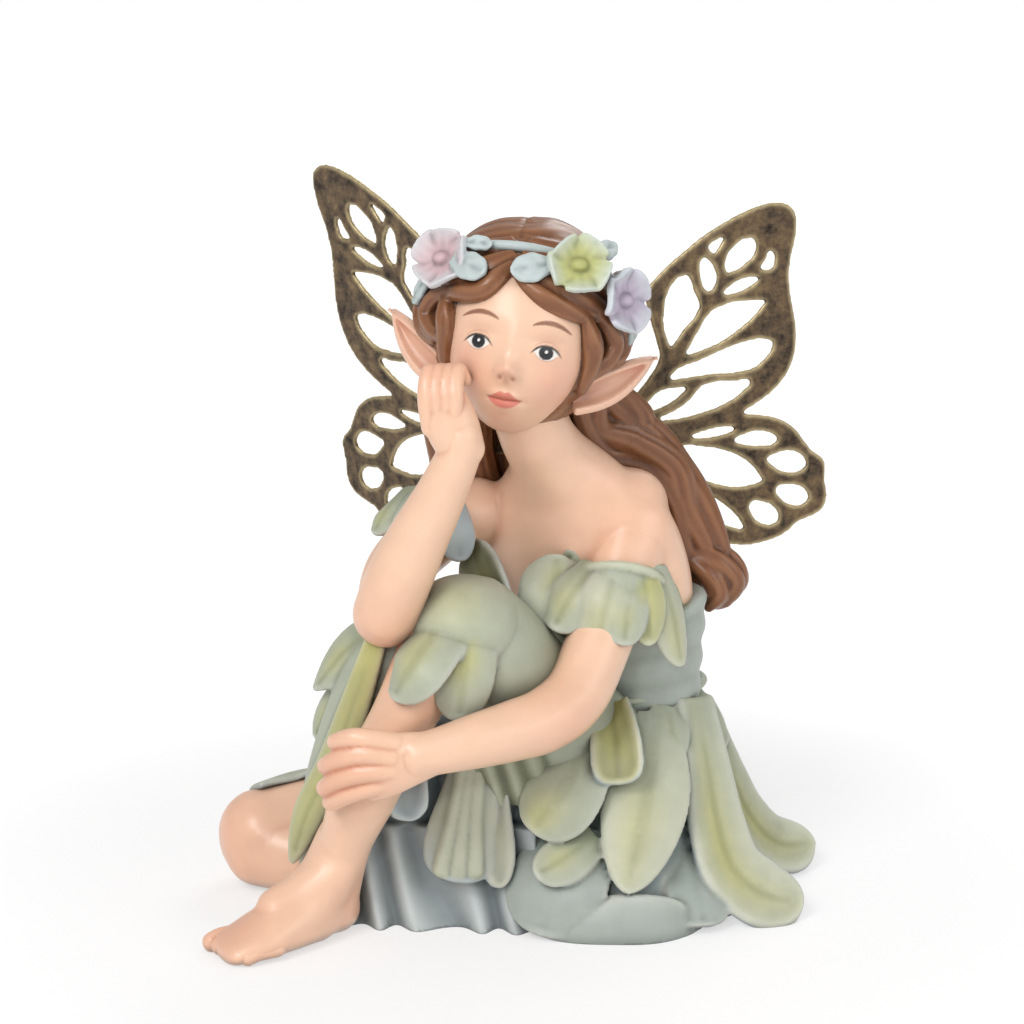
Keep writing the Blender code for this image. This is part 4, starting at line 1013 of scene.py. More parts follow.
def crown_hair():
    cap = ball(on_head(HAIR_SHIFT), HAIR_CAP, (-HEAD_NOD, HEAD_ROLL, HEAD_TURN))
    forms = [strands(cap, 70)]
    # Combed from the parting over the top, down the sides and back
    for side in (1, -1):
        for i in range(9):
            back = 44 + 16 * i
            path = [crown_point(PARTING + side * x, back + 26 * x * x, -0.9)
                    for x in (0.04, 0.3, 0.56, 0.78)]
            width = 5.6 + 0.8 * math.sin(2.3 * i)
            forms.append(lock(path, width, 2.2, facing=from_head, root=0.7, tip=0.8))
            forms[-1].relief *= 0.6
    return forms


# Locks over the forehead and temples in the head's own frame: path and half width
FRONT_LOCKS = [
    ([(-3.5, -17.5, 14.5), (-6.5, -18.8, 11), (-9.5, -18.4, 8), (-14, -15.5, 6.8), (-18, -10.5, 6)], 2.9),
    ([(-4, -15.5, 17), (-9, -16, 13.8), (-13.5, -14.2, 10.8), (-18.5, -9.5, 9), (-22.5, -3, 6)], 3.2),
    ([(-5, -12.5, 20), (-12, -11.5, 17), (-17.5, -7.5, 13.8), (-22, -1, 10.5), (-23, 4, 6)], 3.4),
    ([(-18, -11, 5), (-17.4, -12.5, 1), (-16.6, -11.8, -3), (-16, -10.4, -7), (-15.4, -9, -11)], 2.7),
    ([(-17, -12.5, 6.5), (-21, -7.5, 4.5), (-22.5, -5, 0.5), (-20, -8, -3), (-16.5, -11.8, -4.8)], 2.3),
    ([(-20, -8, 7.5), (-23.5, -2, 4), (-24, 0, 0), (-22.5, -3, -3.5), (-19.5, -7.5, -5.5)], 2.6),
    ([(-2.5, -17.5, 14), (1, -19.2, 11.2), (5, -19.3, 9), (9, -18, 7.6), (13, -15.6, 6.6),
      (16.5, -12, 5.4)], 2.8),
    ([(-1.8, -16, 16.5), (2.5, -17.5, 14), (7.5, -17.3, 12), (12, -15.4, 10.6), (17, -11.6, 9),
      (20.5, -7, 6.6)], 3.2),
    ([(-1, -14.5, 18.5), (5.5, -15, 17), (11, -13.5, 15), (16, -10, 12.8), (20.5, -5.5, 10),
      (23, 1, 6)], 3.3),
    ([(0, -11, 21), (7, -11.5, 20), (13, -9.5, 18), (18, -5, 15), (21.8, 1, 11.5), (23.3, 5, 6)], 3.4),
    ([(15.5, -13.5, 5.5), (17.2, -12.6, 2), (18.2, -11, -1.5), (18, -9, -5.5), (17, -7.5, -11)], 2.7),
    ([(17.5, -11.5, 7.5), (21, -7.5, 4.5), (22.4, -5, 1), (21.2, -6.4, -3.5), (18.3, -8.4, -7.5)], 2.6),
    ([(20.5, -7, 8), (23.3, -1.5, 5), (24, 1, 1.5), (23.4, -1.5, -1.8), (21, -5.5, -4.4)], 2.6),
]


def bangs():
    """Thick locks swept from the parting to both temples, then curled in front of the ears."""
    forms = []
    for path, width in FRONT_LOCKS:
        forms.append(lock([on_head(p) for p in path], width, 2.4, facing=from_head, steps=90))
    return forms


# %% Hair down the back
# Paths of the fall over the viewer's right shoulder and behind the neck, half width and half thickness
LONG_LOCKS = [
    ([(15.5, -4, 126), (18, 1, 117), (25, 5, 111.5), (34, 8, 107.5), (40, 10, 98.5), (44, 11, 88),
      (47.5, 12, 76)], 4.4, 3.8),
    ([(19.5, -3, 128.5), (22.5, 2, 119), (30.5, 6, 114), (39, 9, 108), (44.5, 11, 97), (48.5, 12, 86),
      (51, 13, 74)], 4.6, 4.0),
    ([(23, -1, 130), (26, 4, 122.5), (34, 9, 116), (42.5, 11, 108), (47.5, 13, 97.5), (51.5, 14, 85.5),
      (54.5, 14.5, 76)], 4.2, 3.8),
    ([(25, 0, 130), (30, 6, 122.5), (34.5, 9, 117.5), (38, 10, 113.5)], 3.4, 3.0),
    ([(12, 0, 130), (14, 3, 119), (20, 7, 109), (28, 10, 100)], 5.4, 5.0),
    ([(-15, -2, 138), (-18, 2, 128), (-19, 4, 118), (-17.5, 7, 109)], 4.6, 4.2),
]
# The last curl, turned under at the end of the fall
CURL_BALL = ((52.6, 13.5, 76.0), (5.2, 4.4, 6.4))
# Row by row: the lock's x at the crown, nape, shoulder blades and tip, its y on the back, and its low end
BACK_LOCKS = (
    (-10, -10, -9, -6, 10, 86), (-4, -4, -1, 3, 15, 80), (2, 2, 6, 12, 18, 76), (8, 8, 13, 22, 20, 73),
    (13, 14, 20, 32, 20, 72), (18, 19, 26, 40, 17, 73), (20, 22, 29.5, 46, 14, 76),
)
CURLS = [
    [(47, 11, 86), (53, 10.5, 82), (56.6, 11.5, 77), (54.5, 12, 71.5)],
    [(44.5, 11, 84), (49.5, 9.5, 80), (52.2, 9.5, 75), (50, 11, 70.5)],
    [(49, 15, 86), (55.5, 14.5, 82), (57.8, 15, 77), (56, 15.5, 73)],
]


def wavy(path, phase, sway=1.3):
    """The same path with a sway, so that the lock falls in soft waves."""
    return [(x + sway * math.sin(2.1 * i + phase), y, z + 0.5 * sway * math.cos(2.1 * i + phase))
            for i, (x, y, z) in enumerate(path)]


def back_hair():
    forms = []
    for x_top, x_nape, x_back, x_low, y_back, low in BACK_LOCKS:
        x_blade = (x_back + x_low) / 2
        path = [(x_top, 6, 150), (x_nape, y_back - 7, 128), (x_back, y_back, 112),
                (x_blade, y_back + 3, 97), (x_low, y_back + 2, low + 6), (x_low + 2, y_back, low)]
        forms.append(lock(wavy(path, x_low), 6.2, 5.4, steps=110))
    for i, (path, half_width, half_thickness) in enumerate(LONG_LOCKS):
        forms.append(lock(wavy(path, 2.0 * i), half_width, half_thickness, steps=120))
    forms.append(strands(ball(*CURL_BALL), 30))
    for path in CURLS:
        forms.append(lock(path, 3.0, 2.4, facing=(0, -1, 0), root=0.8, tip=0.45))
    return forms


cast_piece("hair", crown_hair() + bangs() + back_hair(), 0.42, HAIR_SHADE, HAIR_PAINT, "hair_paint",
           wash_depth=0.4, keep=0.42)

# %% [markdown]
# ## Garland
#
# A thin vine with pale leaves and three kinds of flower rings the head. Each flower is five cupped petals
# round a boss, airbrushed from its heart outwards.

# %% Flowers and leaves
PALE_BLUE = linear("#c6d0d2")
BLUSH_PINK = linear("#dcbcc0")
LIME = linear("#c4c67f")
LILAC = linear("#cbbdd0")
LEAF_BLUE = linear("#b9c4c3")
# colour of the painted shade in the garland's hollows
GARLAND_SHADE = "#7b868b"
# No two petals are alike: how far each of the five is turned, and its reach
PETAL_SWAY = (0, 7, -5, 4, -6)
PETAL_REACH = (1, 0.93, 1.06, 0.97, 1.03)
PETAL_CUP = 0.5


def flower(centre, facing, radius, heart, spin):
    facing = unit(facing)
    across = unit(np.cross((0, 0, 1), facing))
    up = np.cross(facing, across)
    centre = np.asarray(centre, float)
    forms = [tint(ball(centre + facing * 0.8, (2.2, 2.2, 1.6), sides=24), heart * 0.8)]
    for i, (sway, reach) in enumerate(zip(PETAL_SWAY, PETAL_REACH)):
        a = math.radians(360 / len(PETAL_SWAY) * i + spin + sway)
        out = (across * math.cos(a) + up * math.sin(a)) * reach
        spine = [centre + out * 0.4] + [centre + out * radius * far + facing * radius * PETAL_CUP * high
                                        for far, high in ((0.5, 0.22), (0.85, 0.62), (1.02, 0.72))]
        form = petal(spine, radius * 0.60, facing, base=0.45, widest=0.62, point=0.45, ripple=0.45,
                     thickness=1.4, lip=0.4, vein=0.2, steps=30, sides=20)
        forms.append(glaze(tint(form, PALE_BLUE), heart, 1.15 * np.exp(-((form.along / 0.72) ** 2))))
    return forms


def garland_leaf(start, tip, facing, half_width):
    middle = (start + tip) / 2 + unit(facing) * 0.9
    form = petal([start, middle, tip], half_width, facing, curl=0.4, base=0.35, widest=0.5, point=0.6,
                 thickness=1.4, lip=0.3, vein=0.4, steps=30, sides=20)
    form.relief = 0.10 * np.sin(form.along * 17 - 6 * np.abs(form.across))
    return tint(form, LEAF_BLUE)


# %% The garland round the head
VINE_RADIUS = 1.3
VINE_HEIGHT = 12.5
VINE_TILT = 7.0
# Flowers: place in the head's own frame, facing, radius, heart colour and spin
FLOWERS = [
    ((-20, -11.5, 13.5), (-0.5, -0.8, 0.25), 7.2, BLUSH_PINK, 18),
    ((11.5, -17.5, 17.3), (0.25, -0.92, 0.3), 7.0, LIME, 50),
    ((22.5, -9.5, 11.5), (0.8, -0.58, 0.15), 7.6, LILAC, 30),
    ((20.5, 14.5, 13), (0.8, 0.5, 0.3), 6.4, BLUSH_PINK, 0),
    ((0, 30, 9), (0, 0.95, 0.3), 6.8, LIME, 10),
    ((-20.5, 15.5, 11), (-0.8, 0.5, 0.3), 6.4, LILAC, 0),
]
# Leaves: both ends, facing and half width
LEAVES = [
    ((-17.5, -14.5, 13.8), (-8.8, -20.8, 11.8), (-0.3, -0.9, 0.3), 3.6),
    ((6, -19.5, 16.5), (-3.4, -21.2, 13.2), (-0.1, -0.95, 0.25), 3.7),
    ((-23, -7, 8.5), (-26, -1.5, 2.5), (-0.85, -0.5, 0.1), 2.6),
    ((14.5, -13.5, 19.5), (18.5, -8, 24), (0.3, -0.75, 0.5), 2.6),
    ((25, -2, 8), (25.6, 2, 1.5), (0.95, -0.3, 0), 2.4),
    ((-15.5, -14, 18), (-9, -15, 18.5), (-0.2, -0.9, 0.35), 2.0),
    ((14, 24.5, 11), (5, 31, 9), (0.3, 0.9, 0.2), 3.0),
    ((-14, 24.5, 10), (-6, 31, 8.5), (-0.3, 0.9, 0.2), 3.0),
]


def garland():
    """A vine round the head, high over the forehead and low at the nape, with flowers and leaves."""
    vine = []
    for turn in range(0, 361, 10):
        height = VINE_HEIGHT + VINE_TILT * math.cos(math.radians(turn))
        vine.append((*cap_point(turn, height, VINE_RADIUS + 1.4), VINE_RADIUS, VINE_RADIUS))
    forms = [tint(tube(vine, facing=HEAD_AXES @ (0, 0, 1), sides=12, steps=200), LEAF_BLUE)]
    for place, facing, radius, heart, spin in FLOWERS:
        forms += flower(on_head(place), HEAD_AXES @ facing, radius, heart, spin)
    for start, tip, facing, half_width in LEAVES:
        forms.append(garland_leaf(on_head(start), on_head(tip), HEAD_AXES @ facing, half_width))
    return forms


cast_piece("garland", garland(), 0.33, GARLAND_SHADE, FLOWER_PAINT, "flower_paint", soften=3,
           wash_depth=0.25, keep=0.5)

# %% [markdown]
# ## Dress
#
# Sage petals with a yellow-green heart and a pale lip hang in layers from the waist, over the raised knee
# and round the sleeves. Under them the cloth turns blue-grey and falls in folds to the floor.

# %% Dress paint
SAGE = linear("#adb3a1")
SAGE_PALE = linear("#bdc0aa")
YELLOW_GREEN = linear("#b9b672")
SAGE_DEEP = linear("#858c72")
OLIVE_SHADE = linear("#6f7450")
BLUE_GREY = linear("#a3b0b5")
HEM_GREEN = linear("#a2aba4")
BODICE_GREEN = linear("#a9b1a8")
SHADOW_GREEN = linear("#93a09f")
UNDERSKIRT = linear("#828e92")
RIB_HIGHLIGHT = linear("#b2b5a0")
PETAL_LIP_PALE = linear("#cccdc4")
VEIN_SHADE = linear("#83875c")
HEM_RIM = linear("#d0d3c9")
KNEE_FOLD_HIGHLIGHT = linear("#abaf98")
KNEE_FOLD_SHADE = linear("#7f8468")
FLOOR_FOLD_HIGHLIGHT = linear("#c0c7c6")
FLOOR_FOLD_SHADE = linear("#8f999b")
# colours of the painted shade in the dress's and the drapery's hollows
DRESS_SHADE = "#59604b"
DRAPE_SHADE = "#4f5a63"
# Petal tones: base colour, colour at the root (for most a darker painted shade), how strong the yellow
# heart is, and its place along
TONES = {
    "sage": (SAGE, SAGE_DEEP, 0.55, 0.6),
    "low": (SAGE, SAGE, 0.75, 0.88),
    "pale": (SAGE_PALE, SAGE, 0.45, 0.75),
    "glow": (SAGE, SAGE_DEEP, 1.0, 0.45),
    "plain": (SAGE, SAGE, 0.1, 0.5),
    "hem": (HEM_GREEN, linear("#929c94"), 0.0, 0.5),
    "olive": (SAGE_DEEP, OLIVE_SHADE, 0.4, 0.4),
    "gold": (linear("#b3b488"), YELLOW_GREEN, 0.7, 0.5),
    "train": (SAGE_PALE, SAGE, 0.8, 0.5),
    "blue": (BLUE_GREY, linear("#8d9a9f"), 0.1, 0.6),
    "satin": (linear("#b4b5a3"), linear("#7f8886"), 0.25, 0.5),
}
VEINLESS = ("hem", "satin", "blue")
HEART_SPREAD = 0.26
TRAIN_SPREAD = 0.40


def petal_paint(form, tone):
    """Airbrushed petal: its tone from root to tip, a yellow-green heart, a pale lip and a cool back."""
    base, root, glow, heart = TONES[tone]
    spread = TRAIN_SPREAD if tone == "train" else HEART_SPREAD
    warm = np.exp(-(((form.along - heart) / spread) ** 2) - ((form.across - 0.1) / 0.5) ** 2)
    vein = np.exp(-((form.across / 0.09) ** 2)) * (form.along > 0.12) * (form.along < 0.88)
    # darker towards the root: a painted shade
    glaze(tint(form, base), root, 1 - form.along * 2.2)
    glaze(form, YELLOW_GREEN, glow * warm)
    glaze(form, PETAL_LIP_PALE, 0.6 * np.exp(-(form.edge**2)))
    # a darker line along the sunk vein: a painted shade
    glaze(form, VEIN_SHADE, 0.5 * vein * (tone not in VEINLESS))
    return glaze(form, BLUE_GREY, 0.9 * form.back)


def placed(table, tone="sage", **settings):
    """Petals from rows of spine, half width, facing, curl, base, widest and point, and a tone if given."""
    forms = []
    for spine, width, facing, curl, root, widest, point, *own in table:
        form = petal(spine, width, facing, curl=curl, base=root, widest=widest, point=point, **settings)
        forms.append(petal_paint(form, own[0] if own else tone))
    return forms


def dress_piece(name, forms, voxel, wash=DRESS_SHADE, **settings):
    cast_piece(name, forms, voxel, wash, DRESS_PAINT, "dress_paint", **settings)


print("petal tones:", ", ".join(TONES))


# %% Folded cloth
def fold_wave(x, z, pitch):
    """Diagonal folds of uneven width: 1 on a ridge, -1 in a hollow."""
    return np.sin((x + 0.35 * z) * 2 * math.pi / pitch + 1.2 * np.sin(0.23 * x + 0.8))


def curtain(x_span, z_span, depth, fold, pitch, ridge, hollow):
    """Hanging cloth: depth gives its front for x and z, fold the folds' height, both in millimetres."""
    x = np.linspace(*x_span, 110)
    heights = np.linspace(*z_span, 60)
    rings = []
    for z in heights:
        y = depth(x, z) - fold(z) * fold_wave(x, z, pitch)
        front = np.stack([x, y, np.full(len(x), z)], 1)
        rings.append(np.vstack([front, front[::-1] + (0, 7, 0)]))
    form = skin_rings(rings, heights, np.zeros(2 * len(x)))
    wave = fold_wave(form.points[:, 0], form.points[:, 2], pitch)
    # painted highlight on the fold ridges and painted shade in the fold hollows
    glaze(tint(form, (ridge + hollow) / 2), ridge, 0.8 * wave)
    return glaze(form, hollow, -0.8 * wave)


# %% Petals over the knee and shin
KNEE_PETALS = [
    ([(-12, -29, 80), (-17, -37, 77.5), (-23, -43.8, 70.5), (-27.5, -43, 62.3)],
     8.8, (-0.4, -0.7, 0.6), 0.8, 0.6, 0.55, 0.5, "sage"),
    ([(-10.5, -28, 80), (-11, -38.5, 76.5), (-11.5, -41.6, 67), (-12.5, -41, 56.5)],
     8.6, (0.1, -0.75, 0.65), 0.7, 0.8, 0.5, 0.38, "glow"),
    ([(-33.5, -25, 74), (-40.5, -20, 67), (-48, -17, 57)],
     6.5, (-0.6, -0.75, 0.4), 0.6, 0.7, 0.4, 0.9, "sage"),
    ([(-38, -22, 62), (-44, -18, 52), (-48, -16, 44.5)],
     6.0, (-0.75, -0.65, 0.1), 0.5, 0.6, 0.5, 0.6, "sage"),
    ([(-40.5, -22, 51), (-45.5, -18, 42.5), (-48, -16, 36)],
     4.6, (-0.8, -0.6, 0), 0.5, 0.6, 0.5, 0.6, "sage"),
    ([(-32.5, -31, 73), (-37.5, -29, 58), (-43.5, -26, 41), (-50, -24, 27.5), (-54, -22, 14.5)],
     4.6, (-0.35, -0.93, 0), 0.7, 0.6, 0.6, 0.7, "gold"),
]


# Where a painted shade makes the cloth deep olive under the arm, and where the knee catches yellow-green
KNEE_SHADE = (12, -22, 62)
KNEE_GLOW = (-14, -38, 84)


def knee_front(x, z):
    """Front of the cloth under the knee: leaning forward as it rises, turned back at its side and top."""
    return -26.5 - 0.29 * (z - 32) + 0.055 * np.maximum(x + 1, 0) ** 2 + 0.035 * max(z - 55, 0) ** 2


def knee_cloth():
    thigh = tube([(20, 0, 30, 21, 19), (5, -12, 52, 17, 16), (-4, -21.5, 66, 15, 14.8),
                  (-11, -26, 75, 14, 13.2)], sides=56, steps=70)
    knee = ball((-11.5, -26.5, 75.2), (14.6, 14.2, 13.0), sides=64)
    fall = tube([(-27, -24, 72, 8, 6), (-35, -22, 60, 7.5, 6), (-42, -20, 44, 6.5, 5.5),
                 (-46, -18, 28, 6.5, 5.5), (-48, -16, 14, 6, 5)],
                facing=(-0.5, -0.85, 0), sides=32, steps=60)
    for form in (thigh, knee):
        glaze(tint(form, SAGE), OLIVE_SHADE, 0.6 * spot(form.points, KNEE_SHADE, 14))
        glaze(form, YELLOW_GREEN, 0.35 * spot(form.points, KNEE_GLOW, 9))
    cloth = curtain((-9, 12), (30, 67), knee_front, lambda z: 0.8, 6.5, KNEE_FOLD_HIGHLIGHT, KNEE_FOLD_SHADE)
    return [thigh, knee, tint(fall, SAGE), cloth] + placed(KNEE_PETALS)


dress_piece("knee_petals", knee_cloth(), 0.42, soften=5)

# %% Drapery between the knee and the floor
DRAPERY_PETALS = [
    ([(-24, -28, 44), (-25, -32, 36), (-26, -33, 29)], 5.4, (0.1, -1, 0), -0.7, 0.6, 0.6, 0.4, "blue"),
    ([(-5, -22, 44), (-4, -27, 26), (-3, -31, 11)], 4.6, (0.2, -1, 0.1), -0.5, 0.6, 0.7, 0.45, "satin"),
    ([(-66, 4, 25), (-56, 12, 26), (-42, 16, 27)], 7.0, (-0.3, 0.3, 0.9), 0.4, 0.5, 0.6, 0.5, "plain"),
]
# The middle panel falls in three ribs
RIBBED_PANEL = [
    ([(-8.5, -24, 46), (-11.5, -29.5, 29), (-13.5, -33.5, 13.5)], 9.4, (0, -1, 0.1), 0.6, 0.4, 0.8, 0.4),
]
# Bodies behind the panels: place, half width, half depth and top
UNDERSKIRT_BODIES = ((-26, -11, 11, 10, 44), (-8, -9, 14, 13, 56), (8, -5, 14, 16, 50))


def floor_front(x, z):
    """Front of the floor cloth, spreading forward as it nears the ground."""
    return -20.5 - 7.5 * (1 - z / 26) ** 1.5 - 0.09 * (x + 40)


def drapery():
    forms = []
    for x, y, half_x, half_y, top in UNDERSKIRT_BODIES:
        form = tube([(x - 2, y, -4, half_x + 2, half_y + 1), (x - 1, y, 6, half_x + 1, half_y),
                     (x, y, top * 0.5, half_x, half_y), (x + 2, y - 4, top, half_x - 3, half_y - 4)],
                    sides=48, steps=50)
        forms.append(tint(form, UNDERSKIRT))
    panel = placed(RIBBED_PANEL, "satin", ripple=0.6, vein=0)[0]
    glaze(panel, BLUE_GREY, 1.6 * (panel.along - 0.55))
    for k in (-1, 0, 1):
        rib = tube([(-9 + 1.6 * k, -24.7, 46, 1.5, 1.5), (-11.5 + 2.7 * k, -29.8, 29, 1.7, 1.5),
                    (-13 + 4.2 * k, -33.4, 16, 2.1, 1.5)], sides=20)
        # the raised ribs painted pale: a painted highlight
        forms.append(tint(rib, RIB_HIGHLIGHT))
    forms.append(curtain((-40, 6), (-3, 24), floor_front, lambda z: 2.2 - 0.05 * z, 12.0,
                         FLOOR_FOLD_HIGHLIGHT, FLOOR_FOLD_SHADE))
    over_thigh = tube([(10, 18, 16, 16.5, 16.2), (-20, 16, 15.2, 14.9, 15.2), (-44, 9.5, 14.6, 14.2, 14.2)],
                      sides=48, end=0.15)
    forms += [panel, tint(over_thigh, HEM_GREEN)]
    return forms + placed(DRAPERY_PETALS, "blue", ripple=0.5, vein=0)


dress_piece("drapery", drapery(), 0.42, DRAPE_SHADE, soften=10, keep=0.25)

# %% Skirt
WAIST = ((28.5, 11.0), (18.5, 14.0))
HEM_HALF = (41.0, 35.0)
SKIRT_PETALS = [
    ([(18.5, -16, 47), (15.5, -24, 40), (11, -29.5, 33), (4.5, -31.5, 25.8)],
     10.2, (-0.2, -0.93, 0.3), 0.45, 0.6, 0.6, 0.42, "low"),
    ([(20.5, -27, 23), (13, -33, 19.5), (5.5, -36, 16)],
     6.2, (-0.15, -0.88, 0.45), 0.4, 0.7, 0.5, 0.5, "sage"),
    ([(36, -6, 48), (34.5, -17, 39), (32, -27, 28.5), (27.5, -36, 11.5)],
     11.2, (0.05, -0.88, 0.4), 0.4, 0.45, 0.55, 0.6, "pale"),
    ([(24.5, -12, 52), (25.5, -22, 44.5), (26, -27, 36)],
     7.4, (-0.1, -0.9, 0.35), -0.9, 0.7, 0.7, 0.3, "gold"),
    ([(39, -4, 49), (39.5, -9.5, 44.5), (41.5, -13.5, 38)],
     5.6, (0.3, -0.9, 0.35), 0.5, 0.8, 0.4, 0.7, "plain"),
    ([(17, -22, 24), (11, -33, 14), (7, -37, 1)], 13.0, (-0.2, -0.85, 0.5), 0.4, 0.8, 0.6, 0.4, "hem"),
    ([(43, -20, 16), (45.5, -29, 7.5), (46.5, -33.5, 2)],
     8.0, (0.25, -0.8, 0.55), 0.3, 0.8, 0.6, 0.4, "hem"),
    ([(43, 6, 51), (49.5, 6, 43.5), (54, 6.5, 34.5)], 6.4, (0.75, -0.65, 0.2), 0.5, 0.5, 0.6, 0.5, "sage"),
]
# The long trains that spread over the ground at the viewer's right
TRAINS = [
    ([(45.5, 0, 50), (48.5, -8, 33.5), (50.5, -15, 21.5), (54, -20.5, 12), (61.5, -22.5, 6), (72, -22, 3.5)],
     9.2, (0.4, -0.82, 0.5), -0.35, 0.6, 0.75, 0.45, "train"),
    ([(48, 8, 47), (55, 8, 28), (60.5, 9, 15.5), (68.5, 11, 7), (79, 15, 6)],
     8.2, (0.55, -0.6, 0.6), -0.35, 0.5, 0.75, 0.5, "train"),
]


def skirt_point(angle, spread, height):
    """A point on the skirt: angle from the front, spread 0 at the waist and 1 at the hem."""
    (cx, cy), waist = WAIST
    half = [w + (h - w) * spread for w, h in zip(waist, HEM_HALF)]
    a = math.radians(angle)
    return (cx - 3 * spread + half[0] * math.sin(a), cy - 3 * spread - half[1] * math.cos(a), height)


def outwards(angle, lift):
    """The way a petal at an angle from the front faces, lifted a little."""
    return math.sin(math.radians(angle)), -math.cos(math.radians(angle)), lift


def skirt_back():
    """The front's pattern goes on round the side and back."""
    long_row, short_row = [], []
    for i, angle in enumerate(range(112, 281, 24)):
        drop = 1.0 - 0.12 * (i % 2)
        spine = [skirt_point(angle + turn, spread, height) for turn, spread, height in (
            (0, 0.02, 48), (2, 0.35, 36), (3, 0.72, 18), (3, drop, 6), (4, 1.2 * drop, 3.5))]
        long_row.append((spine, 10.5, outwards(angle, 0.45), -0.3, 0.4, 0.7, 0.55))
    for angle in range(124, 281, 26):
        spine = [skirt_point(angle, 0.06, 50), skirt_point(angle, 0.4, 40), skirt_point(angle, 0.62, 27)]
        short_row.append((spine, 8.5, outwards(angle, 0.3), 0.35, 0.5, 0.5, 0.7))
    return placed(long_row, "pale") + placed(short_row)


def skirt_body():
    form = tube([(24, 4, -4, 42, 37), (24.5, 4, 4, 40, 35.5), (25.5, 6, 14, 34.5, 30), (27, 9, 28, 27, 22.5),
                 (28.5, 11, 42, 19.5, 15), (28.5, 11, 48, 18.8, 14.4)], sides=72, steps=60, end=0.1)
    return glaze(tint(form, SAGE), SHADOW_GREEN, 1.5 * (1 - form.along))


def hem_roll():
    """The hem's front edge, rolled outwards on the floor, with a pale rim along its top."""
    form = tube([(8, -33, 0.5, 2, 2.5), (15, -35, 1, 4, 5), (24, -35, 2, 5, 8), (33, -34.5, 2, 5, 8),
                 (40, -31.5, 1.5, 4, 6), (45, -28, 0.5, 2, 3)], facing=(0, 0, 1), sides=40, steps=60)
    rim = np.exp(-(((form.across - math.pi / 2) / 0.5) ** 2))
    form.relief = 0.7 * rim
    return glaze(tint(form, HEM_GREEN), HEM_RIM, 0.9 * rim)


def belt():
    """A narrow band where skirt and bodice meet, a little higher at the right."""
    rows = []
    for angle in range(0, 361, 15):
        a = math.radians(angle)
        rows.append((28.5 + 20.2 * math.sin(a), 11 - 15.6 * math.cos(a), 50.5 + 1.5 * math.sin(a), 1.5, 1.2))
    return tint(tube(rows, facing=(0, 0, 1), sides=16, steps=160), SAGE)


skirt = [skirt_body(), hem_roll(), belt()] + placed(SKIRT_PETALS) + skirt_back()
skirt += placed(TRAINS, thickness=3.4, lip=0.3, steps=70)
dress_piece("skirt", skirt, 0.50, soften=5)

# %% Bodice and sleeves
BODICE_PETALS = [
    ([(2, -20, 62), (-4, -18.5, 79), (-7.5, -13, 87), (-9.5, -8, 93)],
     7.2, (-0.6, -0.8, 0.2), -0.5, 0.5, 0.5, 0.75, "olive"),
    ([(8, -20, 62), (9, -19.5, 77), (10.5, -16, 85), (11, -12.5, 90)],
     8.8, (0.1, -1, 0.1), 0.7, 0.6, 0.55, 0.5, "sage"),
]
SLEEVE_PETALS = [
    ([(20.5, -16.5, 88.5), (14.5, -21.5, 82), (10, -22.8, 73.5)],
     6.8, (-0.5, -0.85, 0.2), 0.6, 0.6, 0.6, 0.45, "sage"),
    ([(25.5, -18, 88.5), (23, -24.6, 82), (20.5, -27.2, 70.5)],
     7.0, (-0.1, -1, 0.2), 0.7, 0.6, 0.6, 0.45, "pale"),
    ([(29, -18, 88), (27.6, -24.6, 80), (26.6, -27.4, 71)],
     5.6, (0.15, -1, 0.2), 0.6, 0.6, 0.6, 0.45, "sage"),
    ([(30.5, -17.5, 88), (32.2, -22.2, 81), (33, -23.2, 70)],
     5.8, (0.3, -0.95, 0.2), 0.6, 0.7, 0.5, 0.6, "gold"),
    ([(35, -13, 87.5), (38.2, -16.8, 78), (41, -17, 63)],
     6.2, (0.7, -0.7, 0.2), 0.7, 0.7, 0.55, 0.6, "pale"),
    ([(37, -6, 88), (40.8, -7, 79), (41, -8, 68)], 5.8, (0.95, -0.3, 0.2), 0.6, 0.8, 0.5, 0.6, "sage"),
    ([(15, -11, 85), (14, -10, 91)], 3.0, (-0.3, -0.95, 0), 0.6, 0.9, 0.3, 0.8, "olive"),
    ([(-25, 1, 104), (-30.5, -5, 99), (-33.5, -7, 93.5)],
     5.8, (-0.8, -0.5, 0.4), 0.6, 0.7, 0.5, 0.6, "sage"),
    ([(-15, -9, 103.5), (-13.5, -15, 97), (-12.5, -15.5, 89)],
     5.0, (0.3, -0.95, 0.2), 0.6, 0.7, 0.6, 0.5, "blue"),
    ([(-21, -6, 104.5), (-24, -13, 99), (-26, -17, 93)], 6.0, (-0.3, -0.8, 0.6), 0.6, 0.7, 0.6, 0.5, "sage"),
]


def bodice():
    form = tube([(28.5, 11, 40, 19.2, 14.6), (29, 11, 48, 19.5, 14.6), (28.3, 9.5, 57, 20.8, 14.8),
                 (26.4, 8, 67, 23.6, 16.0), (25.2, 7.2, 73, 25.0, 16.6)],
                facing=(-0.42, -0.9, 0), sides=64, steps=60, end=0.12)
    form.relief = 0.35 * np.sin(0.75 * form.points[:, 2] - 0.12 * form.points[:, 0])
    sleeve = tube([(26.3, -12, 83.3, 10.1, 10.1), (25.6, -13.5, 81.2, 10.2, 10.2),
                   (24.8, -14.9, 79.2, 9.8, 10)], sides=48, steps=40, end=0.12)
    ring = []
    for angle in range(0, 361, 15):
        c, s = math.cos(math.radians(angle)), math.sin(math.radians(angle))
        ring.append((26.3 + 10.1 * c + 1.5 * s, -12 - 8.3 * s, 83.3 - 1.5 * c + 5.7 * s, 1.2, 1.2))
    rim = tube(ring, facing=(0, 0, 1), sides=16, steps=120)
    cloth = [tint(form, BODICE_GREEN), tint(sleeve, SAGE), tint(rim, SAGE_PALE)]
    return cloth + placed(BODICE_PETALS) + placed(SLEEVE_PETALS)


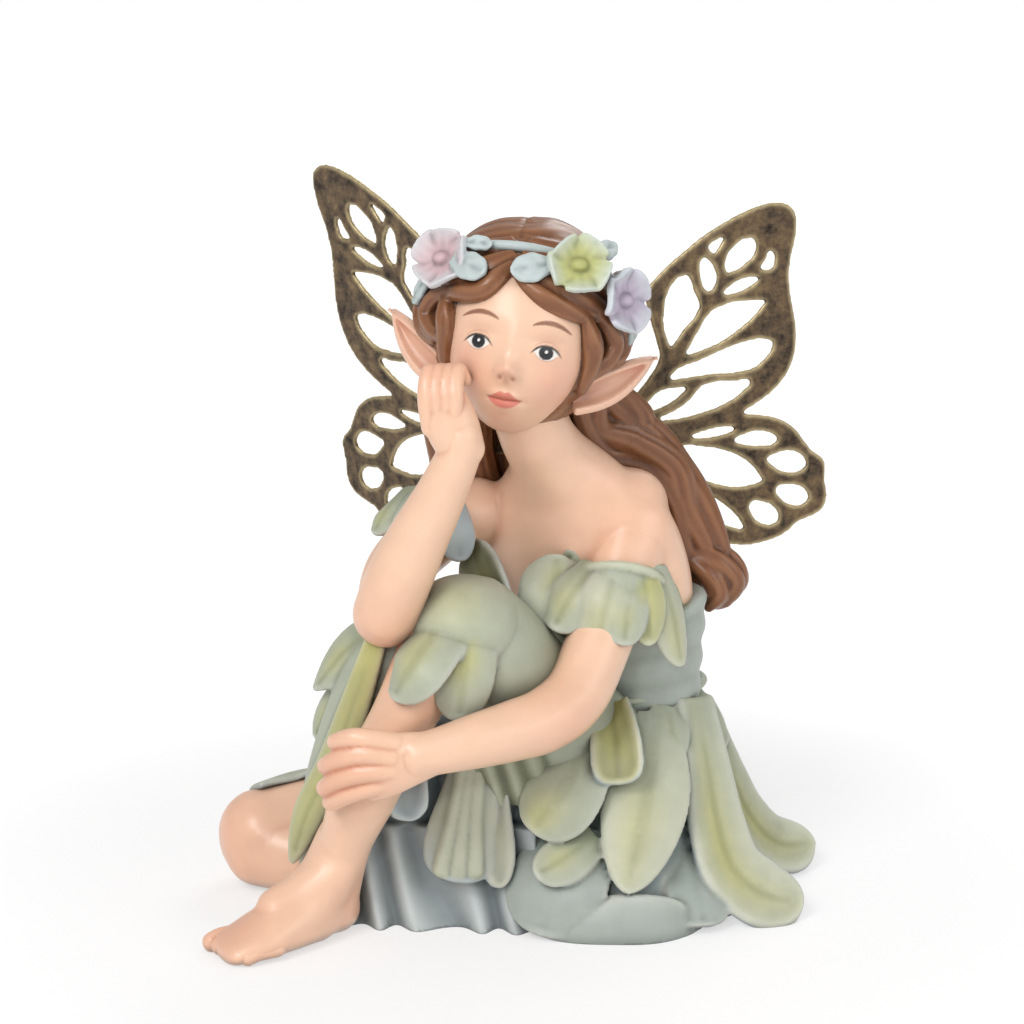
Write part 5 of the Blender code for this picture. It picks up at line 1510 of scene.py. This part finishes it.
dress_piece("bodice_and_sleeves", bodice(), 0.42, soften=7)

# %% [markdown]
# ## Wings
#
# Each wing is a thin brass-plated plate, pierced between its veins, with an antique finish: nearly black
# in the hollows, brown-gold on the flats, and bright where handling has rubbed the edges.

# %% Antique brass
PATINA_PATCH = 4.0
PLATE_GREY = 0.4
PATINA = ((0.33, "#2a241d"), (0.44, "#54473a"), (0.56, "#6e5b45"), (0.72, "#8c7656"))
WORN = linear("#c9b78e")


def antique_brass():
    """Patchy patina, giving way to bright metal where the plate's own paint layer says it's rubbed."""
    material, tree, shader = new_material("antique_brass")
    place = add_node(tree, "ShaderNodeTexCoord").outputs["Object"]
    patches = add_node(tree, "ShaderNodeTexNoise", Vector=place, Scale=1 / (PATINA_PATCH * MM), Detail=7.0,
                       Roughness=0.72)
    ramp = add_node(tree, "ShaderNodeValToRGB", Fac=patches.outputs["Fac"])
    ramp.color_ramp.elements.remove(ramp.color_ramp.elements[1])
    stops = ramp.color_ramp.elements
    for index, (level, code) in enumerate(PATINA):
        stop = stops[0] if index == 0 else stops.new(level)
        stop.position = level
        stop.color = (*linear(code), 1)
    rubbed = add_node(tree, "ShaderNodeVertexColor", {"layer_name": "paint"})
    share = add_node(tree, "ShaderNodeMapRange", Value=rubbed.outputs["Color"], i1=PLATE_GREY * 1.1,
                     i2=PLATE_GREY * 1.8, i3=0.0, i4=0.9)
    mix = add_node(tree, "ShaderNodeMix", {"data_type": "RGBA"}, Factor=share.outputs[0])
    tree.links.new(ramp.outputs["Color"], mix.inputs["A"])
    mix.inputs["B"].default_value = (*WORN, 1)
    tree.links.new(mix.outputs["Result"], shader.inputs["Base Color"])
    rough = add_node(tree, "ShaderNodeMapRange", Value=patches.outputs["Fac"], **NOISE_SPAN,
                     i3=0.60, i4=0.40)
    tree.links.new(rough.outputs[0], shader.inputs["Roughness"])
    bump = add_node(tree, "ShaderNodeBump", Height=patches.outputs["Fac"], Strength=0.3, Distance=0.2 * MM)
    tree.links.new(bump.outputs[0], shader.inputs["Normal"])
    shader.inputs["Metallic"].default_value = 0.75
    return material


# %% [markdown]
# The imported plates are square-edged. Wrapped again in cells of under half a millimetre and softened, their
# edges round over as tumbling and handling do. Where the skin is most curved it is marked as rubbed.

# %% Rounded, rubbed plates
BRASS = antique_brass()
HOLLOW_BLACK = "#000000"
for side in ("wing_left", "wing_right"):
    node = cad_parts[side]
    corners = np.array([node.matrix_world @ v.co for v in node.data.vertices]) / MM
    faces = [tuple(p.vertices) for p in node.data.polygons]
    plate = tint(Form(corners, faces, np.zeros(len(corners)), np.zeros(len(corners))), PLATE_GREY)
    piece = cast_piece(side + "_plate", [plate], 0.44, HOLLOW_BLACK, BRASS, "aged_brass", soften=3,
                       wash_depth=0.32, wear_and_highlight=1.2, keep=1)
    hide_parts(side)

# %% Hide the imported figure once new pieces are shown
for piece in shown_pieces():
    if piece.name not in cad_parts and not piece.name.endswith("_plate"):
        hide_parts("resin_figure")
